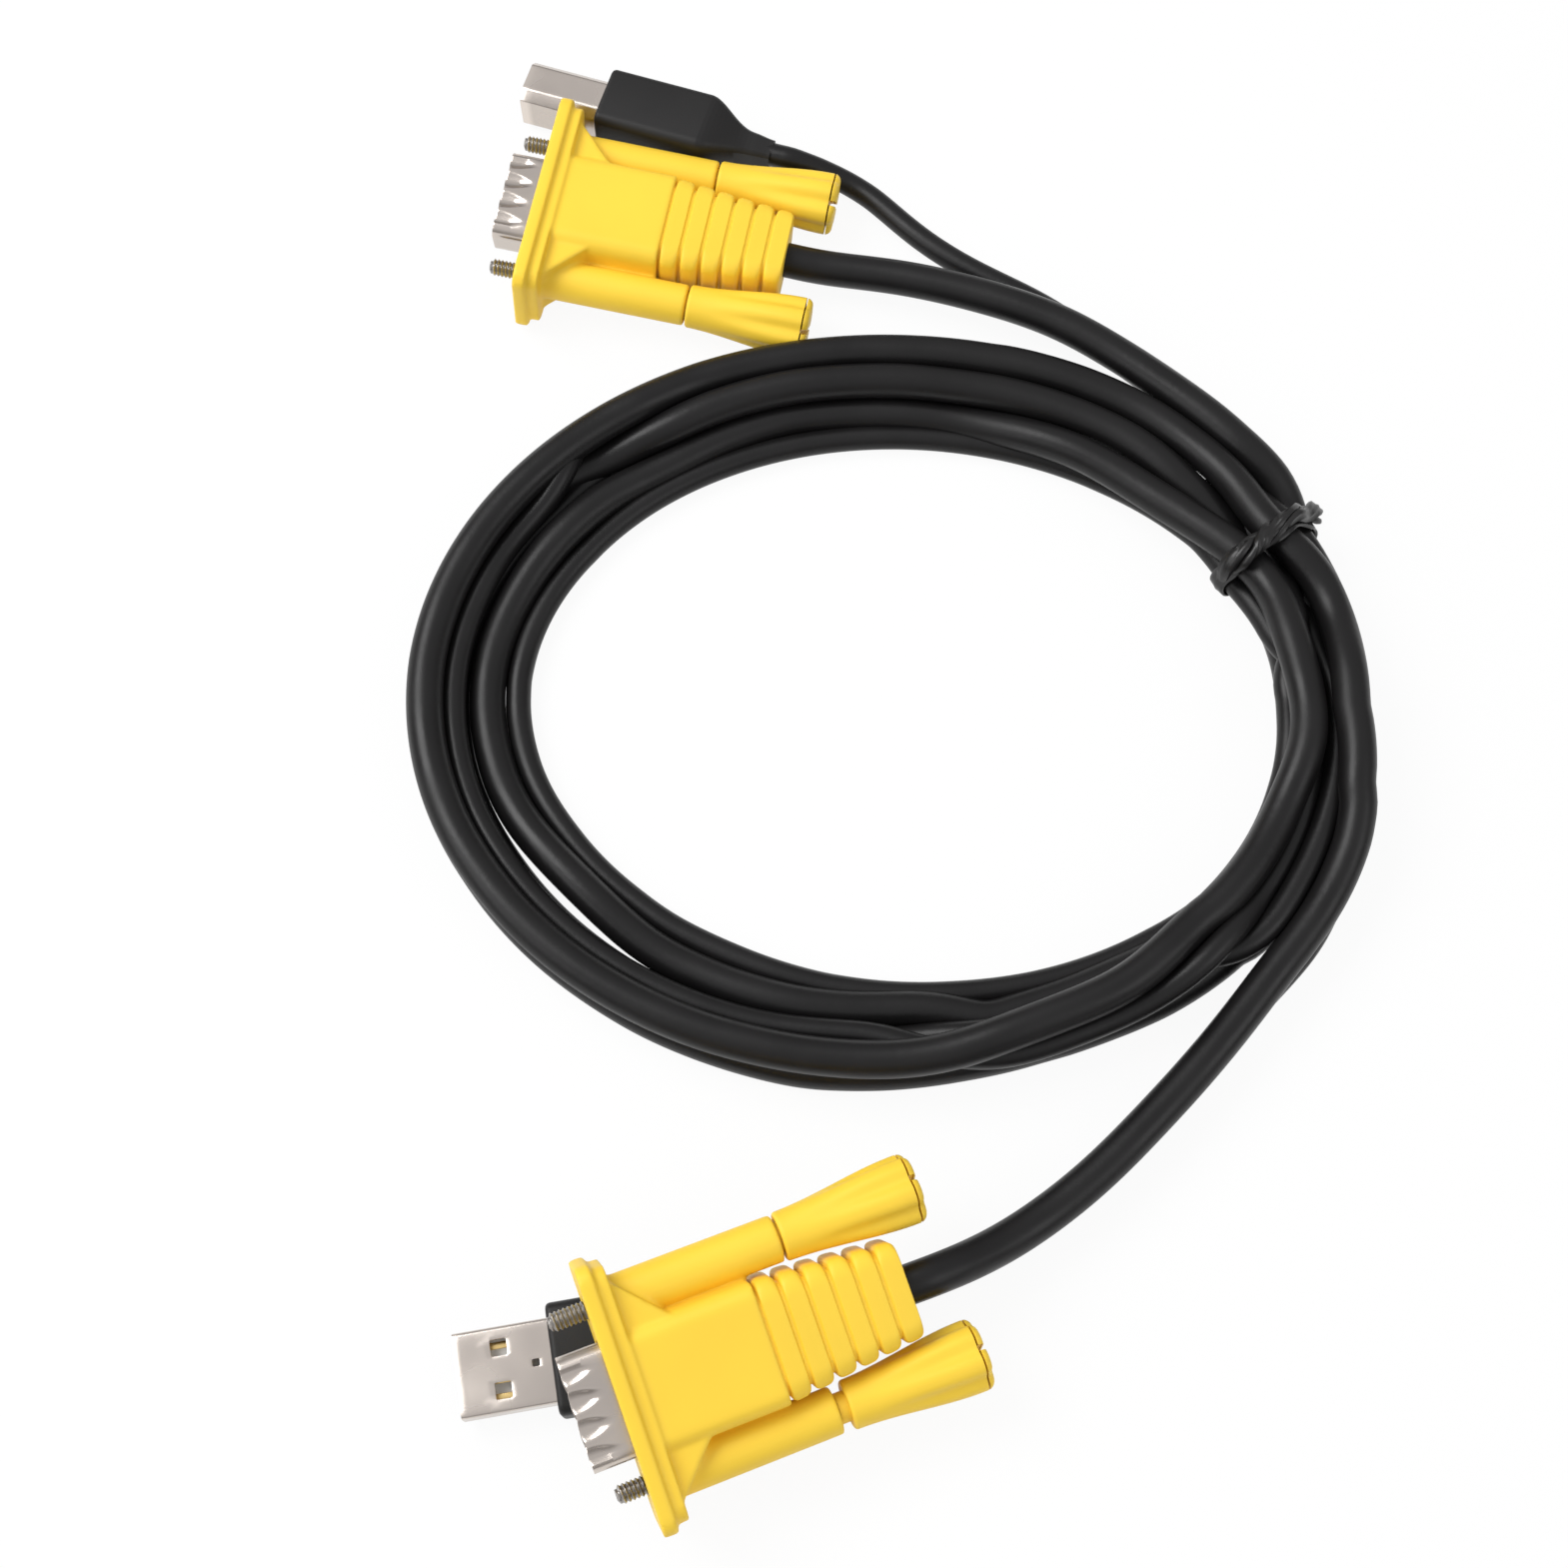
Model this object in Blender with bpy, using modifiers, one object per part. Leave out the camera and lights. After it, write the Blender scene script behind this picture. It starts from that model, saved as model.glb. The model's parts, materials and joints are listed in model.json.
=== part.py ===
"""A combined video and USB cable: two yellow 15-pin plugs with thumbscrews, a USB-A and a USB-B plug,
and a bonded pair of black leads wound into an oval coil and held by a wire tie.

Metres, +Z up, standing on Z = 0. The origin is below the middle of the four plugs.
Each plug has its own frame: +X out of its mating end, +Y across, +Z through its thickness.
"""
import math

import bmesh
import bpy
from mathutils import Euler, Matrix, Vector

MM = 0.001
GAP = 0.3 * MM
CUT_PAST = 2.0 * MM

# Video plug
SCREW_SPACING = 24.99 * MM
SCREW_RADIUS = 1.42 * MM
SCREW_NECK_RADIUS = 1.15 * MM
SCREW_REACH = 5.4 * MM
SCREW_CHAMFER = 0.5 * MM
THREAD_LENGTH = 7.6 * MM
SCREW_IN_KNOB = 11.0 * MM
FLANGE_WIDTH = 38.0 * MM
FLANGE_HEIGHT = 15.3 * MM
FLANGE_FRONT_THICK = 2.2 * MM
FLANGE_BACK_THICK = 1.8 * MM
FLANGE_STEP = 0.9 * MM
FLANGE_CORNER = 2.6 * MM
GUSSET_LENGTH = 7.5 * MM
GUSSET_HEIGHT = 10.6 * MM
GUSSET_INSET = 2.4 * MM
SLEEVE_RADIUS = 3.4 * MM
SLEEVE_LENGTH = 28.2 * MM
BODY_WIDTH = 17.6 * MM
BODY_HEIGHT = 12.4 * MM
BODY_CORNER = 2.4 * MM
HOOD_LENGTH = 42.8 * MM
RIB_COUNT = 6
RIB_PITCH = 3.48 * MM
RIB_GROOVE = 0.9 * MM
RIB_DEPTH = 0.8 * MM
RIB_END_WIDTH = 13.8 * MM
RIB_END_HEIGHT = 10.2 * MM
KNOB_LENGTH = 20.6 * MM
KNOB_END_RADIUS = 5.0 * MM
KNOB_FLUTES = 6
KNOB_FLUTE_DEPTH = 0.95 * MM
KNOB_SLOT_WIDTH = 1.0 * MM
KNOB_SLOT_DEPTH = 1.5 * MM
KNOB_CLEARANCE = 0.3 * MM
LOOSE_DRAW = 1.2 * MM

# D-shaped shell and its pin block
D_WIDTH = 17.2 * MM
D_HEIGHT = 8.6 * MM
D_CORNER = 2.5 * MM
D_SLANT_DEG = 10.0
D_REACH = 6.0 * MM
D_WALL = 0.45 * MM
D_SEAT = 3.8 * MM
PIN_RADIUS = 0.42 * MM
PIN_REACH = 4.9 * MM
PIN_PITCH = 2.29 * MM
PIN_ROW_PITCH = 1.98 * MM
PINS_PER_ROW = 5
PIN_ROWS = 3

# USB-A plug
USB_A_WIDTH = 12.0 * MM
USB_A_HEIGHT = 4.5 * MM
USB_A_REACH = 13.7 * MM
USB_A_GRIP_WIDTH = 16.0 * MM
USB_A_GRIP_HEIGHT = 7.4 * MM
USB_A_GRIP_LENGTH = 33.0 * MM
USB_A_WINDOW = 2.4 * MM
USB_A_WINDOW_SPREAD = 6.0 * MM
USB_A_WINDOW_BACK = 6.4 * MM
USB_A_TONGUE_HEIGHT = 1.6 * MM

# USB-B plug
USB_B_WIDTH = 8.45 * MM
USB_B_HEIGHT = 7.78 * MM
USB_B_CHAMFER = 1.6 * MM
USB_B_REACH = 14.0 * MM
USB_B_GRIP_WIDTH = 11.5 * MM
USB_B_GRIP_HEIGHT = 10.5 * MM
USB_B_GRIP_LENGTH = 26.5 * MM
USB_B_SLOT_WIDTH = 5.7 * MM
USB_B_SLOT_HEIGHT = 3.2 * MM
USB_B_SLOT_DEPTH = 8.5 * MM

# What both USB plugs share
USB_WALL = 0.35 * MM
USB_SEAT = 3.0 * MM
USB_CORNER = 0.6 * MM
USB_RELIEF_LENGTH = 4.0 * MM
USB_RELIEF_WALL = 0.7 * MM
USB_INSERT_BACK = 1.0 * MM
USB_CONTACT_BACK = 1.6 * MM
GRIP_EASE = 0.7 * MM
GRIP_CORNER = 1.6 * MM
CONTACT_WIDTH = 1.0 * MM
CONTACT_THICK = 0.25 * MM
CONTACT_LENGTH = 7.6 * MM
CONTACT_PITCH = 2.4 * MM

# Leads, coil and tie
VIDEO_LEAD = 5.8 * MM
USB_LEAD = 4.0 * MM
COIL_CENTRE = (28.4 * MM, 4.1 * MM)
COIL_INNER_LENGTH = 118.0 * MM
COIL_INNER_WIDTH = 91.0 * MM
COIL_TURN_DEG = -3.5
COIL_HEIGHT = 11.6 * MM
COIL_STEPS = 60
# The coil's width at angles round it, counted from +X. It is narrowest where the leads run beside it.
COIL_WIDTHS = ((0, 7.0), (20, 7.4), (34, 8.0), (52, 13.6), (75, 17.4), (98, 16.6), (120, 16.8), (150, 18.8), (180, 19.6),
               (220, 19.4), (250, 18.2), (275, 15.6), (300, 12.6), (325, 9.6), (345, 7.4))
LEAD_SPACING = 11.0 * MM
LEAD_STRAIGHT = 6.0 * MM
CURVE_STEPS = 12
TIE_ANGLE = 31.0
TIE_REACH_DEG = 24.0
TIE_WIDTH = 3.6 * MM
TIE_THICK = 1.0 * MM
TIE_LIFT = 0.4 * MM
TIE_END_LENGTH = 15.0 * MM
TIE_CORNER = 3.0 * MM

# Heights at which the plugs rest: each on the table, and video plug a on the grip of the USB-A plug
USB_A_REST = USB_A_GRIP_HEIGHT / 2 / MM
USB_B_REST = USB_B_GRIP_HEIGHT / 2 / MM
VIDEO_A_REST = USB_A_GRIP_HEIGHT / MM + 8.5
VIDEO_B_REST = FLANGE_HEIGHT / 2 / MM + 0.3

# Where each plug lies, in millimetres: its place, then its turn about its own X, Y and Z in degrees
VIDEO_PLUGS = {
    "a": ((-13.6, -103.9, VIDEO_A_REST), (-16.0, -3.5, 201.1), (0.0, LOOSE_DRAW)),
    "b": ((-32.1, 92.4, VIDEO_B_REST), (0.0, -3.2, 168.9), (0.0, 0.0)),
}
USB_A_PLACE = ((-36.9, -100.1, USB_A_REST), (0.0, 0.0, 189.8))
USB_B_PLACE = ((-35.0, 118.9, USB_B_REST), (0.0, 0.0, 162.5))

# The leads where they aren't coiled, in millimetres, past the straight first stretch out of each plug
VIDEO_TAIL_A = (
    (40.7, -79.1, 8.9), (53.8, -71.0, 5.6), (64.1, -63.3, 4.8), (71.5, -56.9, 5.4), (78.8, -48.1, 6.8),
    (83.3, -41.2, 7.9), (88.1, -32.5, 8.6), (92.3, -23.0, 8.9), (96.0, -12.5, 8.9), (97.8, -0.5, 8.9),
    (97.8, 11.5, 8.9), (96.1, 22.5, 8.9), (92.4, 31.5, 9.0), (88.6, 38.8, 8.9),
)
VIDEO_TAIL_B = (
    (83.0, 47.5, 8.5), (73.8, 57.7, 8.0), (63.4, 66.0, 7.7), (53.1, 72.4, 7.5),
    (38.8, 77.9, 6.8), (26.0, 81.4, 6.1),
)
USB_TAIL_A = (
    (33.8, -85.2, 2.8), (43.3, -80.0, 2.1), (56.0, -74.6, 2.0), (67.0, -66.9, 2.0),
    (75.3, -59.9, 2.1), (82.2, -50.4, 2.5), (86.4, -43.0, 3.2), (90.9, -33.9, 3.7), (94.9, -23.9, 3.9),
    (98.5, -13.0, 3.9), (100.2, -0.5, 3.9), (100.2, 11.9, 3.9), (98.4, 23.4, 3.9), (94.6, 32.8, 3.9),
    (90.2, 40.0, 3.6),
)
USB_TAIL_B = (
    (84.4, 48.4, 3.1), (74.8, 58.9, 2.5), (65.2, 67.4, 2.1), (54.2, 77.0, 2.0),
    (43.0, 83.4, 2.0), (34.5, 89.4, 2.0), (27.8, 95.6, 2.0), (21.2, 101.9, 2.1),
)


def clear_scene():
    for old in list(bpy.data.objects):
        bpy.data.objects.remove(old, do_unlink=True)


def make_collection(name):
    made = bpy.data.collections.new(name)
    bpy.context.scene.collection.children.link(made)
    return made


def make_material(name, colour, roughness, metallic=0.0):
    made = bpy.data.materials.new(name)
    made.use_nodes = True
    shader = made.node_tree.nodes["Principled BSDF"]
    shader.inputs["Base Color"].default_value = (*colour, 1.0)
    shader.inputs["Roughness"].default_value = roughness
    shader.inputs["Metallic"].default_value = metallic
    made.diffuse_color = (*colour, 1.0)
    return made


def place_frame(name, place_mm, turn_deg):
    """An empty that carries one plug."""
    empty = bpy.data.objects.new(name, None)
    empty.empty_display_size = 5 * MM
    empty.location = Vector(place_mm) * MM
    empty.rotation_euler = Euler([math.radians(a) for a in turn_deg])
    PARTS.objects.link(empty)
    return empty


def frame_matrix(place_mm, turn_deg):
    return Matrix.Translation(Vector(place_mm) * MM) @ Euler([math.radians(a) for a in turn_deg]).to_matrix().to_4x4()


def add_mesh_object(name, bm, material=None, parent=None, location=(0, 0, 0), smooth_deg=None):
    """Store a bmesh as one named object. Without a material it is a cutter."""
    bmesh.ops.recalc_face_normals(bm, faces=bm.faces)
    mesh = bpy.data.meshes.new(name)
    bm.to_mesh(mesh)
    bm.free()
    made = bpy.data.objects.new(name, mesh)
    made.parent = parent
    made.location = location
    if material is None:
        made.hide_render = True
        made.display_type = "WIRE"
        CUTTERS.objects.link(made)
    else:
        mesh.materials.append(material)
        PARTS.objects.link(made)
    if smooth_deg is not None:
        mesh.shade_smooth()
        mesh.set_sharp_from_angle(angle=math.radians(smooth_deg))
    return made


def combine(target, tool, operation):
    modifier = target.modifiers.new(operation.lower(), "BOOLEAN")
    modifier.operation = operation
    modifier.solver = "EXACT"
    modifier.object = tool


def round_corners(corners, radii, steps):
    """Replace each corner of a flat outline by an arc of its radius."""
    outline = []
    count = len(corners)
    for i, corner in enumerate(corners):
        here = Vector(corner)
        before = (Vector(corners[i - 1]) - here).normalized()
        after = (Vector(corners[(i + 1) % count]) - here).normalized()
        half = before.angle(after) / 2
        back = radii[i] / math.tan(half)
        centre = here + (before + after).normalized() * radii[i] / math.sin(half)
        start = here + before * back - centre
        end = here + after * back - centre
        for k in range(steps + 1):
            blend = start.lerp(end, k / steps)
            outline.append(centre + blend.normalized() * radii[i])
    return outline


def rounded_box_outline(width, height, radius, steps=3):
    radius = min(radius, 0.49 * width, 0.49 * height)
    corners = [(width / 2, height / 2), (-width / 2, height / 2), (-width / 2, -height / 2), (width / 2, -height / 2)]
    return round_corners(corners, [radius] * 4, steps)


def d_outline(grow, steps=4):
    """The D-shaped outline of the video plug's shell, grown or shrunk all round."""
    half_height = D_HEIGHT / 2 + grow
    slant = math.tan(math.radians(D_SLANT_DEG))
    top = D_WIDTH / 2 + grow
    bottom = top - 2 * half_height * slant
    corners = [(top, half_height), (-top, half_height), (-bottom, -half_height), (bottom, -half_height)]
    return round_corners(corners, [D_CORNER + grow] * 4, steps)


def loft(sections):
    """A closed skin over outlines that have the same number of points, each given with its X."""
    bm = bmesh.new()
    rings = [[bm.verts.new((x, p[0], p[1])) for p in outline] for x, outline in sections]
    count = len(rings[0])
    for near, far in zip(rings, rings[1:]):
        for i in range(count):
            j = (i + 1) % count
            bm.faces.new((near[i], near[j], far[j], far[i]))
    bm.faces.new(rings[0])
    bm.faces.new(rings[-1])
    return bm


def prism(outline, x_front, x_back):
    return loft([(x_front, outline), (x_back, outline)])


def rod(radius, x_front, x_back, y=0.0, z=0.0, segments=20):
    """A round bar along X."""
    bm = bmesh.new()
    middle = Matrix.Translation(((x_front + x_back) / 2, y, z)) @ Matrix.Rotation(math.radians(90), 4, "Y")
    bmesh.ops.create_cone(bm, cap_ends=True, segments=segments, radius1=radius, radius2=radius,
                          depth=x_front - x_back, matrix=middle)
    return bm


def block(size, centre):
    bm = bmesh.new()
    bmesh.ops.create_cube(bm, size=1.0, matrix=Matrix.Translation(centre) @ Matrix.Diagonal((*size, 1.0)))
    return bm


def hood_body_sections():
    """Plain block behind the flange, then ribs that taper to the cable."""
    rib_zone = RIB_PITCH * RIB_COUNT
    first_rib = -(HOOD_LENGTH - rib_zone)
    body = rounded_box_outline(BODY_WIDTH, BODY_HEIGHT, BODY_CORNER)
    sections = [(-FLANGE_FRONT_THICK, body), (first_rib + RIB_GROOVE / 2, body)]
    for i in range(RIB_COUNT):
        share = (i + 1) / RIB_COUNT
        width = BODY_WIDTH + (RIB_END_WIDTH - BODY_WIDTH) * share
        height = BODY_HEIGHT + (RIB_END_HEIGHT - BODY_HEIGHT) * share
        rib = rounded_box_outline(width, height, BODY_CORNER)
        groove = rounded_box_outline(width - 2 * RIB_DEPTH, height - 2 * RIB_DEPTH, BODY_CORNER)
        front = first_rib - RIB_PITCH * i
        sections.append((front, groove))
        sections.append((front - RIB_GROOVE / 2, groove))
        sections.append((front - RIB_GROOVE, rib))
        sections.append((front - RIB_PITCH + RIB_GROOVE / 2, rib))
    nose = rounded_box_outline(RIB_END_WIDTH - 2 * RIB_DEPTH, RIB_END_HEIGHT - 2 * RIB_DEPTH, BODY_CORNER)
    sections.append((-HOOD_LENGTH, nose))
    return sections


def make_hood(tag, frame):
    """The yellow moulding: flange, gussets, two screw sleeves, body and ribbed strain relief."""
    flange_back = FLANGE_FRONT_THICK + FLANGE_BACK_THICK
    front = rounded_box_outline(FLANGE_WIDTH, FLANGE_HEIGHT, FLANGE_CORNER)
    back = rounded_box_outline(FLANGE_WIDTH - 2 * FLANGE_STEP, FLANGE_HEIGHT - 2 * FLANGE_STEP, FLANGE_CORNER)
    flange = loft([(0, front), (-FLANGE_FRONT_THICK, front), (-FLANGE_FRONT_THICK, back), (-flange_back, back)])
    hood = add_mesh_object(f"vga_{tag}_hood", flange, YELLOW, frame, smooth_deg=35)
    wide = rounded_box_outline(FLANGE_WIDTH - 2 * GUSSET_INSET, GUSSET_HEIGHT, BODY_CORNER)
    narrow = rounded_box_outline(BODY_WIDTH - BODY_CORNER, GUSSET_HEIGHT, BODY_CORNER)
    gusset = loft([(-FLANGE_FRONT_THICK, wide), (-flange_back, wide), (-flange_back - GUSSET_LENGTH, narrow)])
    combine(hood, add_mesh_object(f"vga_{tag}_gusset", gusset, parent=frame), "UNION")
    for side, y in (("far", -SCREW_SPACING / 2), ("near", SCREW_SPACING / 2)):
        sleeve = rod(SLEEVE_RADIUS, -FLANGE_FRONT_THICK, -SLEEVE_LENGTH, y=y)
        combine(hood, add_mesh_object(f"vga_{tag}_{side}_sleeve", sleeve, parent=frame), "UNION")
    body = loft(hood_body_sections())
    combine(hood, add_mesh_object(f"vga_{tag}_body", body, parent=frame), "UNION")
    for side, y in (("far", -SCREW_SPACING / 2), ("near", SCREW_SPACING / 2)):
        bore = rod(SCREW_RADIUS + GAP, CUT_PAST, -SLEEVE_LENGTH - CUT_PAST, y=y, segments=16)
        combine(hood, add_mesh_object(f"vga_{tag}_{side}_bore", bore, parent=frame), "DIFFERENCE")
    pocket = prism(d_outline(GAP), CUT_PAST, -D_SEAT - GAP)
    combine(hood, add_mesh_object(f"vga_{tag}_pocket", pocket, parent=frame), "DIFFERENCE")


def make_shell_and_pins(tag, frame):
    """The nickel D-shaped shell, and the pin block that stands in it."""
    shell = add_mesh_object(f"vga_{tag}_d_shell", prism(d_outline(0), D_REACH, -D_SEAT), NICKEL, frame, smooth_deg=35)
    hollow = prism(d_outline(-D_WALL), D_REACH + CUT_PAST, -D_SEAT - CUT_PAST)
    combine(shell, add_mesh_object(f"vga_{tag}_d_hollow", hollow, parent=frame), "DIFFERENCE")
    carrier = prism(d_outline(-D_WALL - GAP), 0, -D_SEAT)
    insulator = add_mesh_object(f"vga_{tag}_pin_block", carrier, BLACK_PLASTIC, frame, smooth_deg=35)
    pins = bmesh.new()
    for row in range(PIN_ROWS):
        z = (row - (PIN_ROWS - 1) / 2) * PIN_ROW_PITCH
        shift = (0.5 - row % 2) * PIN_PITCH / 2
        for column in range(PINS_PER_ROW):
            y = (column - (PINS_PER_ROW - 1) / 2) * PIN_PITCH + shift
            centre = Matrix.Translation(((PIN_REACH - 1 * MM) / 2, y, z)) @ Matrix.Rotation(math.radians(90), 4, "Y")
            bmesh.ops.create_cone(pins, cap_ends=True, segments=6, radius1=PIN_RADIUS, radius2=PIN_RADIUS,
                                  depth=PIN_REACH + 1 * MM, matrix=centre)
    combine(insulator, add_mesh_object(f"vga_{tag}_pins", pins, parent=frame), "UNION")


def make_screw(tag, side, frame, y, draw):
    """A captive screw, turned about its own axis: the profile runs from its tip down to its end in the knob."""
    tip = SCREW_REACH - draw
    end = -SLEEVE_LENGTH - SCREW_IN_KNOB - draw
    root = tip - THREAD_LENGTH
    profile = [(0, tip), (SCREW_RADIUS - SCREW_CHAMFER, tip), (SCREW_RADIUS, tip - SCREW_CHAMFER),
               (SCREW_RADIUS, root), (SCREW_NECK_RADIUS, root - SCREW_CHAMFER),
               (SCREW_NECK_RADIUS, end), (0, end)]
    bm = bmesh.new()
    points = [bm.verts.new((r, 0, z)) for r, z in profile]
    for a, b in zip(points, points[1:]):
        bm.edges.new((a, b))
    screw = add_mesh_object(f"vga_{tag}_{side}_screw", bm, STEEL, frame, (0, y, 0))
    screw.rotation_euler = (0, math.radians(90), 0)
    turn = screw.modifiers.new("turn", "SCREW")
    turn.axis = "Z"
    turn.steps = 16
    turn.render_steps = 16
    turn.use_merge_vertices = True
    turn.merge_threshold = 0.00002


def make_knob(tag, side, frame, y, draw):
    """A fluted grip that flares to its end, with a blade slot across it and the screw's neck in it."""
    front = -SLEEVE_LENGTH - KNOB_CLEARANCE - draw
    # share of the length, share of the flare, share of the flute depth
    stations = ((0.0, 0.0, 0.0), (0.12, 0.03, 0.0), (0.35, 0.22, 0.3), (0.62, 0.58, 0.65), (0.88, 0.95, 1.0),
                (0.96, 1.0, 1.0), (1.0, 0.7, 0.9))
    sections = []
    for along, flare, flute in stations:
        outline = []
        for k in range(KNOB_FLUTES * 6):
            angle = 2 * math.pi * k / (KNOB_FLUTES * 6)
            valley = 0.5 - 0.5 * math.cos(KNOB_FLUTES * angle)
            radius = SLEEVE_RADIUS + (KNOB_END_RADIUS - SLEEVE_RADIUS) * flare - KNOB_FLUTE_DEPTH * flute * valley
            outline.append((radius * math.cos(angle), radius * math.sin(angle)))
        sections.append((front - along * KNOB_LENGTH, outline))
    knob = add_mesh_object(f"vga_{tag}_{side}_knob", loft(sections), YELLOW, frame, (0, y, 0), smooth_deg=40)
    bore_end = -SLEEVE_LENGTH - SCREW_IN_KNOB - draw - GAP
    bore = rod(SCREW_NECK_RADIUS + GAP, front + CUT_PAST, bore_end, segments=16)
    combine(knob, add_mesh_object(f"vga_{tag}_{side}_knob_bore", bore, parent=frame, location=(0, y, 0)), "DIFFERENCE")
    slot = block((2 * KNOB_SLOT_DEPTH, 3 * KNOB_END_RADIUS, KNOB_SLOT_WIDTH), (front - KNOB_LENGTH, 0, 0))
    combine(knob, add_mesh_object(f"vga_{tag}_{side}_slot", slot, parent=frame, location=(0, y, 0)), "DIFFERENCE")


def make_video_plug(tag):
    place, turn, draws = VIDEO_PLUGS[tag]
    frame = place_frame(f"vga_{tag}_frame", place, turn)
    make_hood(tag, frame)
    make_shell_and_pins(tag, frame)
    for side, sign, draw in (("far", -1, draws[0]), ("near", 1, draws[1])):
        make_screw(tag, side, frame, sign * SCREW_SPACING / 2, draw)
        make_knob(tag, side, frame, sign * SCREW_SPACING / 2, draw)


def grip_sections(width, height, reach, length):
    """The moulded grip of a USB plug: a box with eased ends that necks down to its strain relief."""
    relief = USB_LEAD + 2 * USB_RELIEF_WALL
    # distance back from the grip's front, share of the way from the box to the neck
    stations = ((GRIP_EASE, 0.0), (0.72 * length, 0.0), (0.86 * length, 0.28), (0.95 * length, 0.66),
                (length, 0.86), (length + USB_RELIEF_LENGTH, 1.0))
    front = rounded_box_outline(width - 2 * GRIP_EASE, height - 2 * GRIP_EASE, GRIP_CORNER)
    sections = [(-reach, front)]
    for back, neck in stations:
        wide = width + (relief - width) * neck
        high = height + (relief - height) * neck
        corner = GRIP_CORNER + (0.45 * relief - GRIP_CORNER) * neck
        sections.append((-reach - back, rounded_box_outline(wide, high, corner)))
    return sections


def make_contact(name, frame, y, z, x_front):
    strip = block((CONTACT_LENGTH, CONTACT_WIDTH, CONTACT_THICK), (x_front - CONTACT_LENGTH / 2, y, z))
    add_mesh_object(name, strip, GOLD, frame)


def make_usb_a():
    frame = place_frame("usb_a_frame", *USB_A_PLACE)
    outline = rounded_box_outline(USB_A_WIDTH, USB_A_HEIGHT, USB_CORNER, steps=2)
    inside = rounded_box_outline(USB_A_WIDTH - 2 * USB_WALL, USB_A_HEIGHT - 2 * USB_WALL, USB_CORNER / 2, steps=2)
    back = -USB_A_REACH - USB_SEAT
    shell = add_mesh_object("usb_a_shell", prism(outline, 0, back), NICKEL, frame, smooth_deg=35)
    hollow = prism(inside, CUT_PAST, back - CUT_PAST)
    combine(shell, add_mesh_object("usb_a_hollow", hollow, parent=frame), "DIFFERENCE")
    for side in (-1, 1):
        window = block((USB_A_WINDOW, USB_A_WINDOW, 2 * USB_A_HEIGHT),
                       (-USB_A_WINDOW_BACK, side * USB_A_WINDOW_SPREAD / 2, 0))
        combine(shell, add_mesh_object(f"usb_a_window_{side + 2}", window, parent=frame), "DIFFERENCE")
    grip = loft(grip_sections(USB_A_GRIP_WIDTH, USB_A_GRIP_HEIGHT, USB_A_REACH, USB_A_GRIP_LENGTH))
    grip = add_mesh_object("usb_a_grip", grip, BLACK_PLASTIC, frame, smooth_deg=35)
    pocket = rounded_box_outline(USB_A_WIDTH + 2 * GAP, USB_A_HEIGHT + 2 * GAP, USB_CORNER + GAP, steps=2)
    pocket = prism(pocket, CUT_PAST - USB_A_REACH, back - GAP)
    combine(grip, add_mesh_object("usb_a_pocket", pocket, parent=frame), "DIFFERENCE")
    floor = -USB_A_HEIGHT / 2 + USB_WALL + GAP
    tongue_width = USB_A_WIDTH - 2 * USB_WALL - 2 * GAP
    tongue_length = USB_A_REACH + USB_SEAT - USB_INSERT_BACK
    tongue = block((tongue_length, tongue_width, USB_A_TONGUE_HEIGHT),
                   (-USB_INSERT_BACK - tongue_length / 2, 0, floor + USB_A_TONGUE_HEIGHT / 2))
    add_mesh_object("usb_a_tongue", tongue, WHITE_PLASTIC, frame)
    contact_height = floor + USB_A_TONGUE_HEIGHT + GAP + CONTACT_THICK / 2
    for i in range(4):
        y = (i - 1.5) * CONTACT_PITCH
        make_contact(f"usb_a_contact_{i + 1}", frame, y, contact_height, -USB_CONTACT_BACK)


def usb_b_outline(grow):
    """A square outline whose two upper corners are cut off."""
    w = USB_B_WIDTH / 2 + grow
    h = USB_B_HEIGHT / 2 + grow
    c = USB_B_CHAMFER + 0.4 * grow
    corners = [(w, h - c), (w - c, h), (c - w, h), (-w, h - c), (-w, -h), (w, -h)]
    return round_corners(corners, [USB_CORNER] * 6, 2)


def make_usb_b():
    frame = place_frame("usb_b_frame", *USB_B_PLACE)
    back = -USB_B_REACH - USB_SEAT
    shell = add_mesh_object("usb_b_shell", prism(usb_b_outline(0), 0, back), NICKEL, frame, smooth_deg=35)
    hollow = prism(usb_b_outline(-USB_WALL), CUT_PAST, back - CUT_PAST)
    combine(shell, add_mesh_object("usb_b_hollow", hollow, parent=frame), "DIFFERENCE")
    grip = loft(grip_sections(USB_B_GRIP_WIDTH, USB_B_GRIP_HEIGHT, USB_B_REACH, USB_B_GRIP_LENGTH))
    grip = add_mesh_object("usb_b_grip", grip, BLACK_PLASTIC, frame, smooth_deg=35)
    pocket = prism(usb_b_outline(GAP), CUT_PAST - USB_B_REACH, back - GAP)
    combine(grip, add_mesh_object("usb_b_pocket", pocket, parent=frame), "DIFFERENCE")
    insert = prism(usb_b_outline(-USB_WALL - GAP), -USB_INSERT_BACK, back)
    insert = add_mesh_object("usb_b_insert", insert, BLACK_PLASTIC, frame, smooth_deg=35)
    slot = block((2 * USB_B_SLOT_DEPTH, USB_B_SLOT_WIDTH, USB_B_SLOT_HEIGHT), (-USB_INSERT_BACK, 0, 0))
    combine(insert, add_mesh_object("usb_b_slot", slot, parent=frame), "DIFFERENCE")
    height = USB_B_SLOT_HEIGHT / 2 - GAP - CONTACT_THICK / 2
    for i in range(4):
        y = (0.5 - i % 2) * CONTACT_PITCH
        z = height if i < 2 else -height
        make_contact(f"usb_b_contact_{i + 1}", frame, y, z, -USB_CONTACT_BACK)


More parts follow.
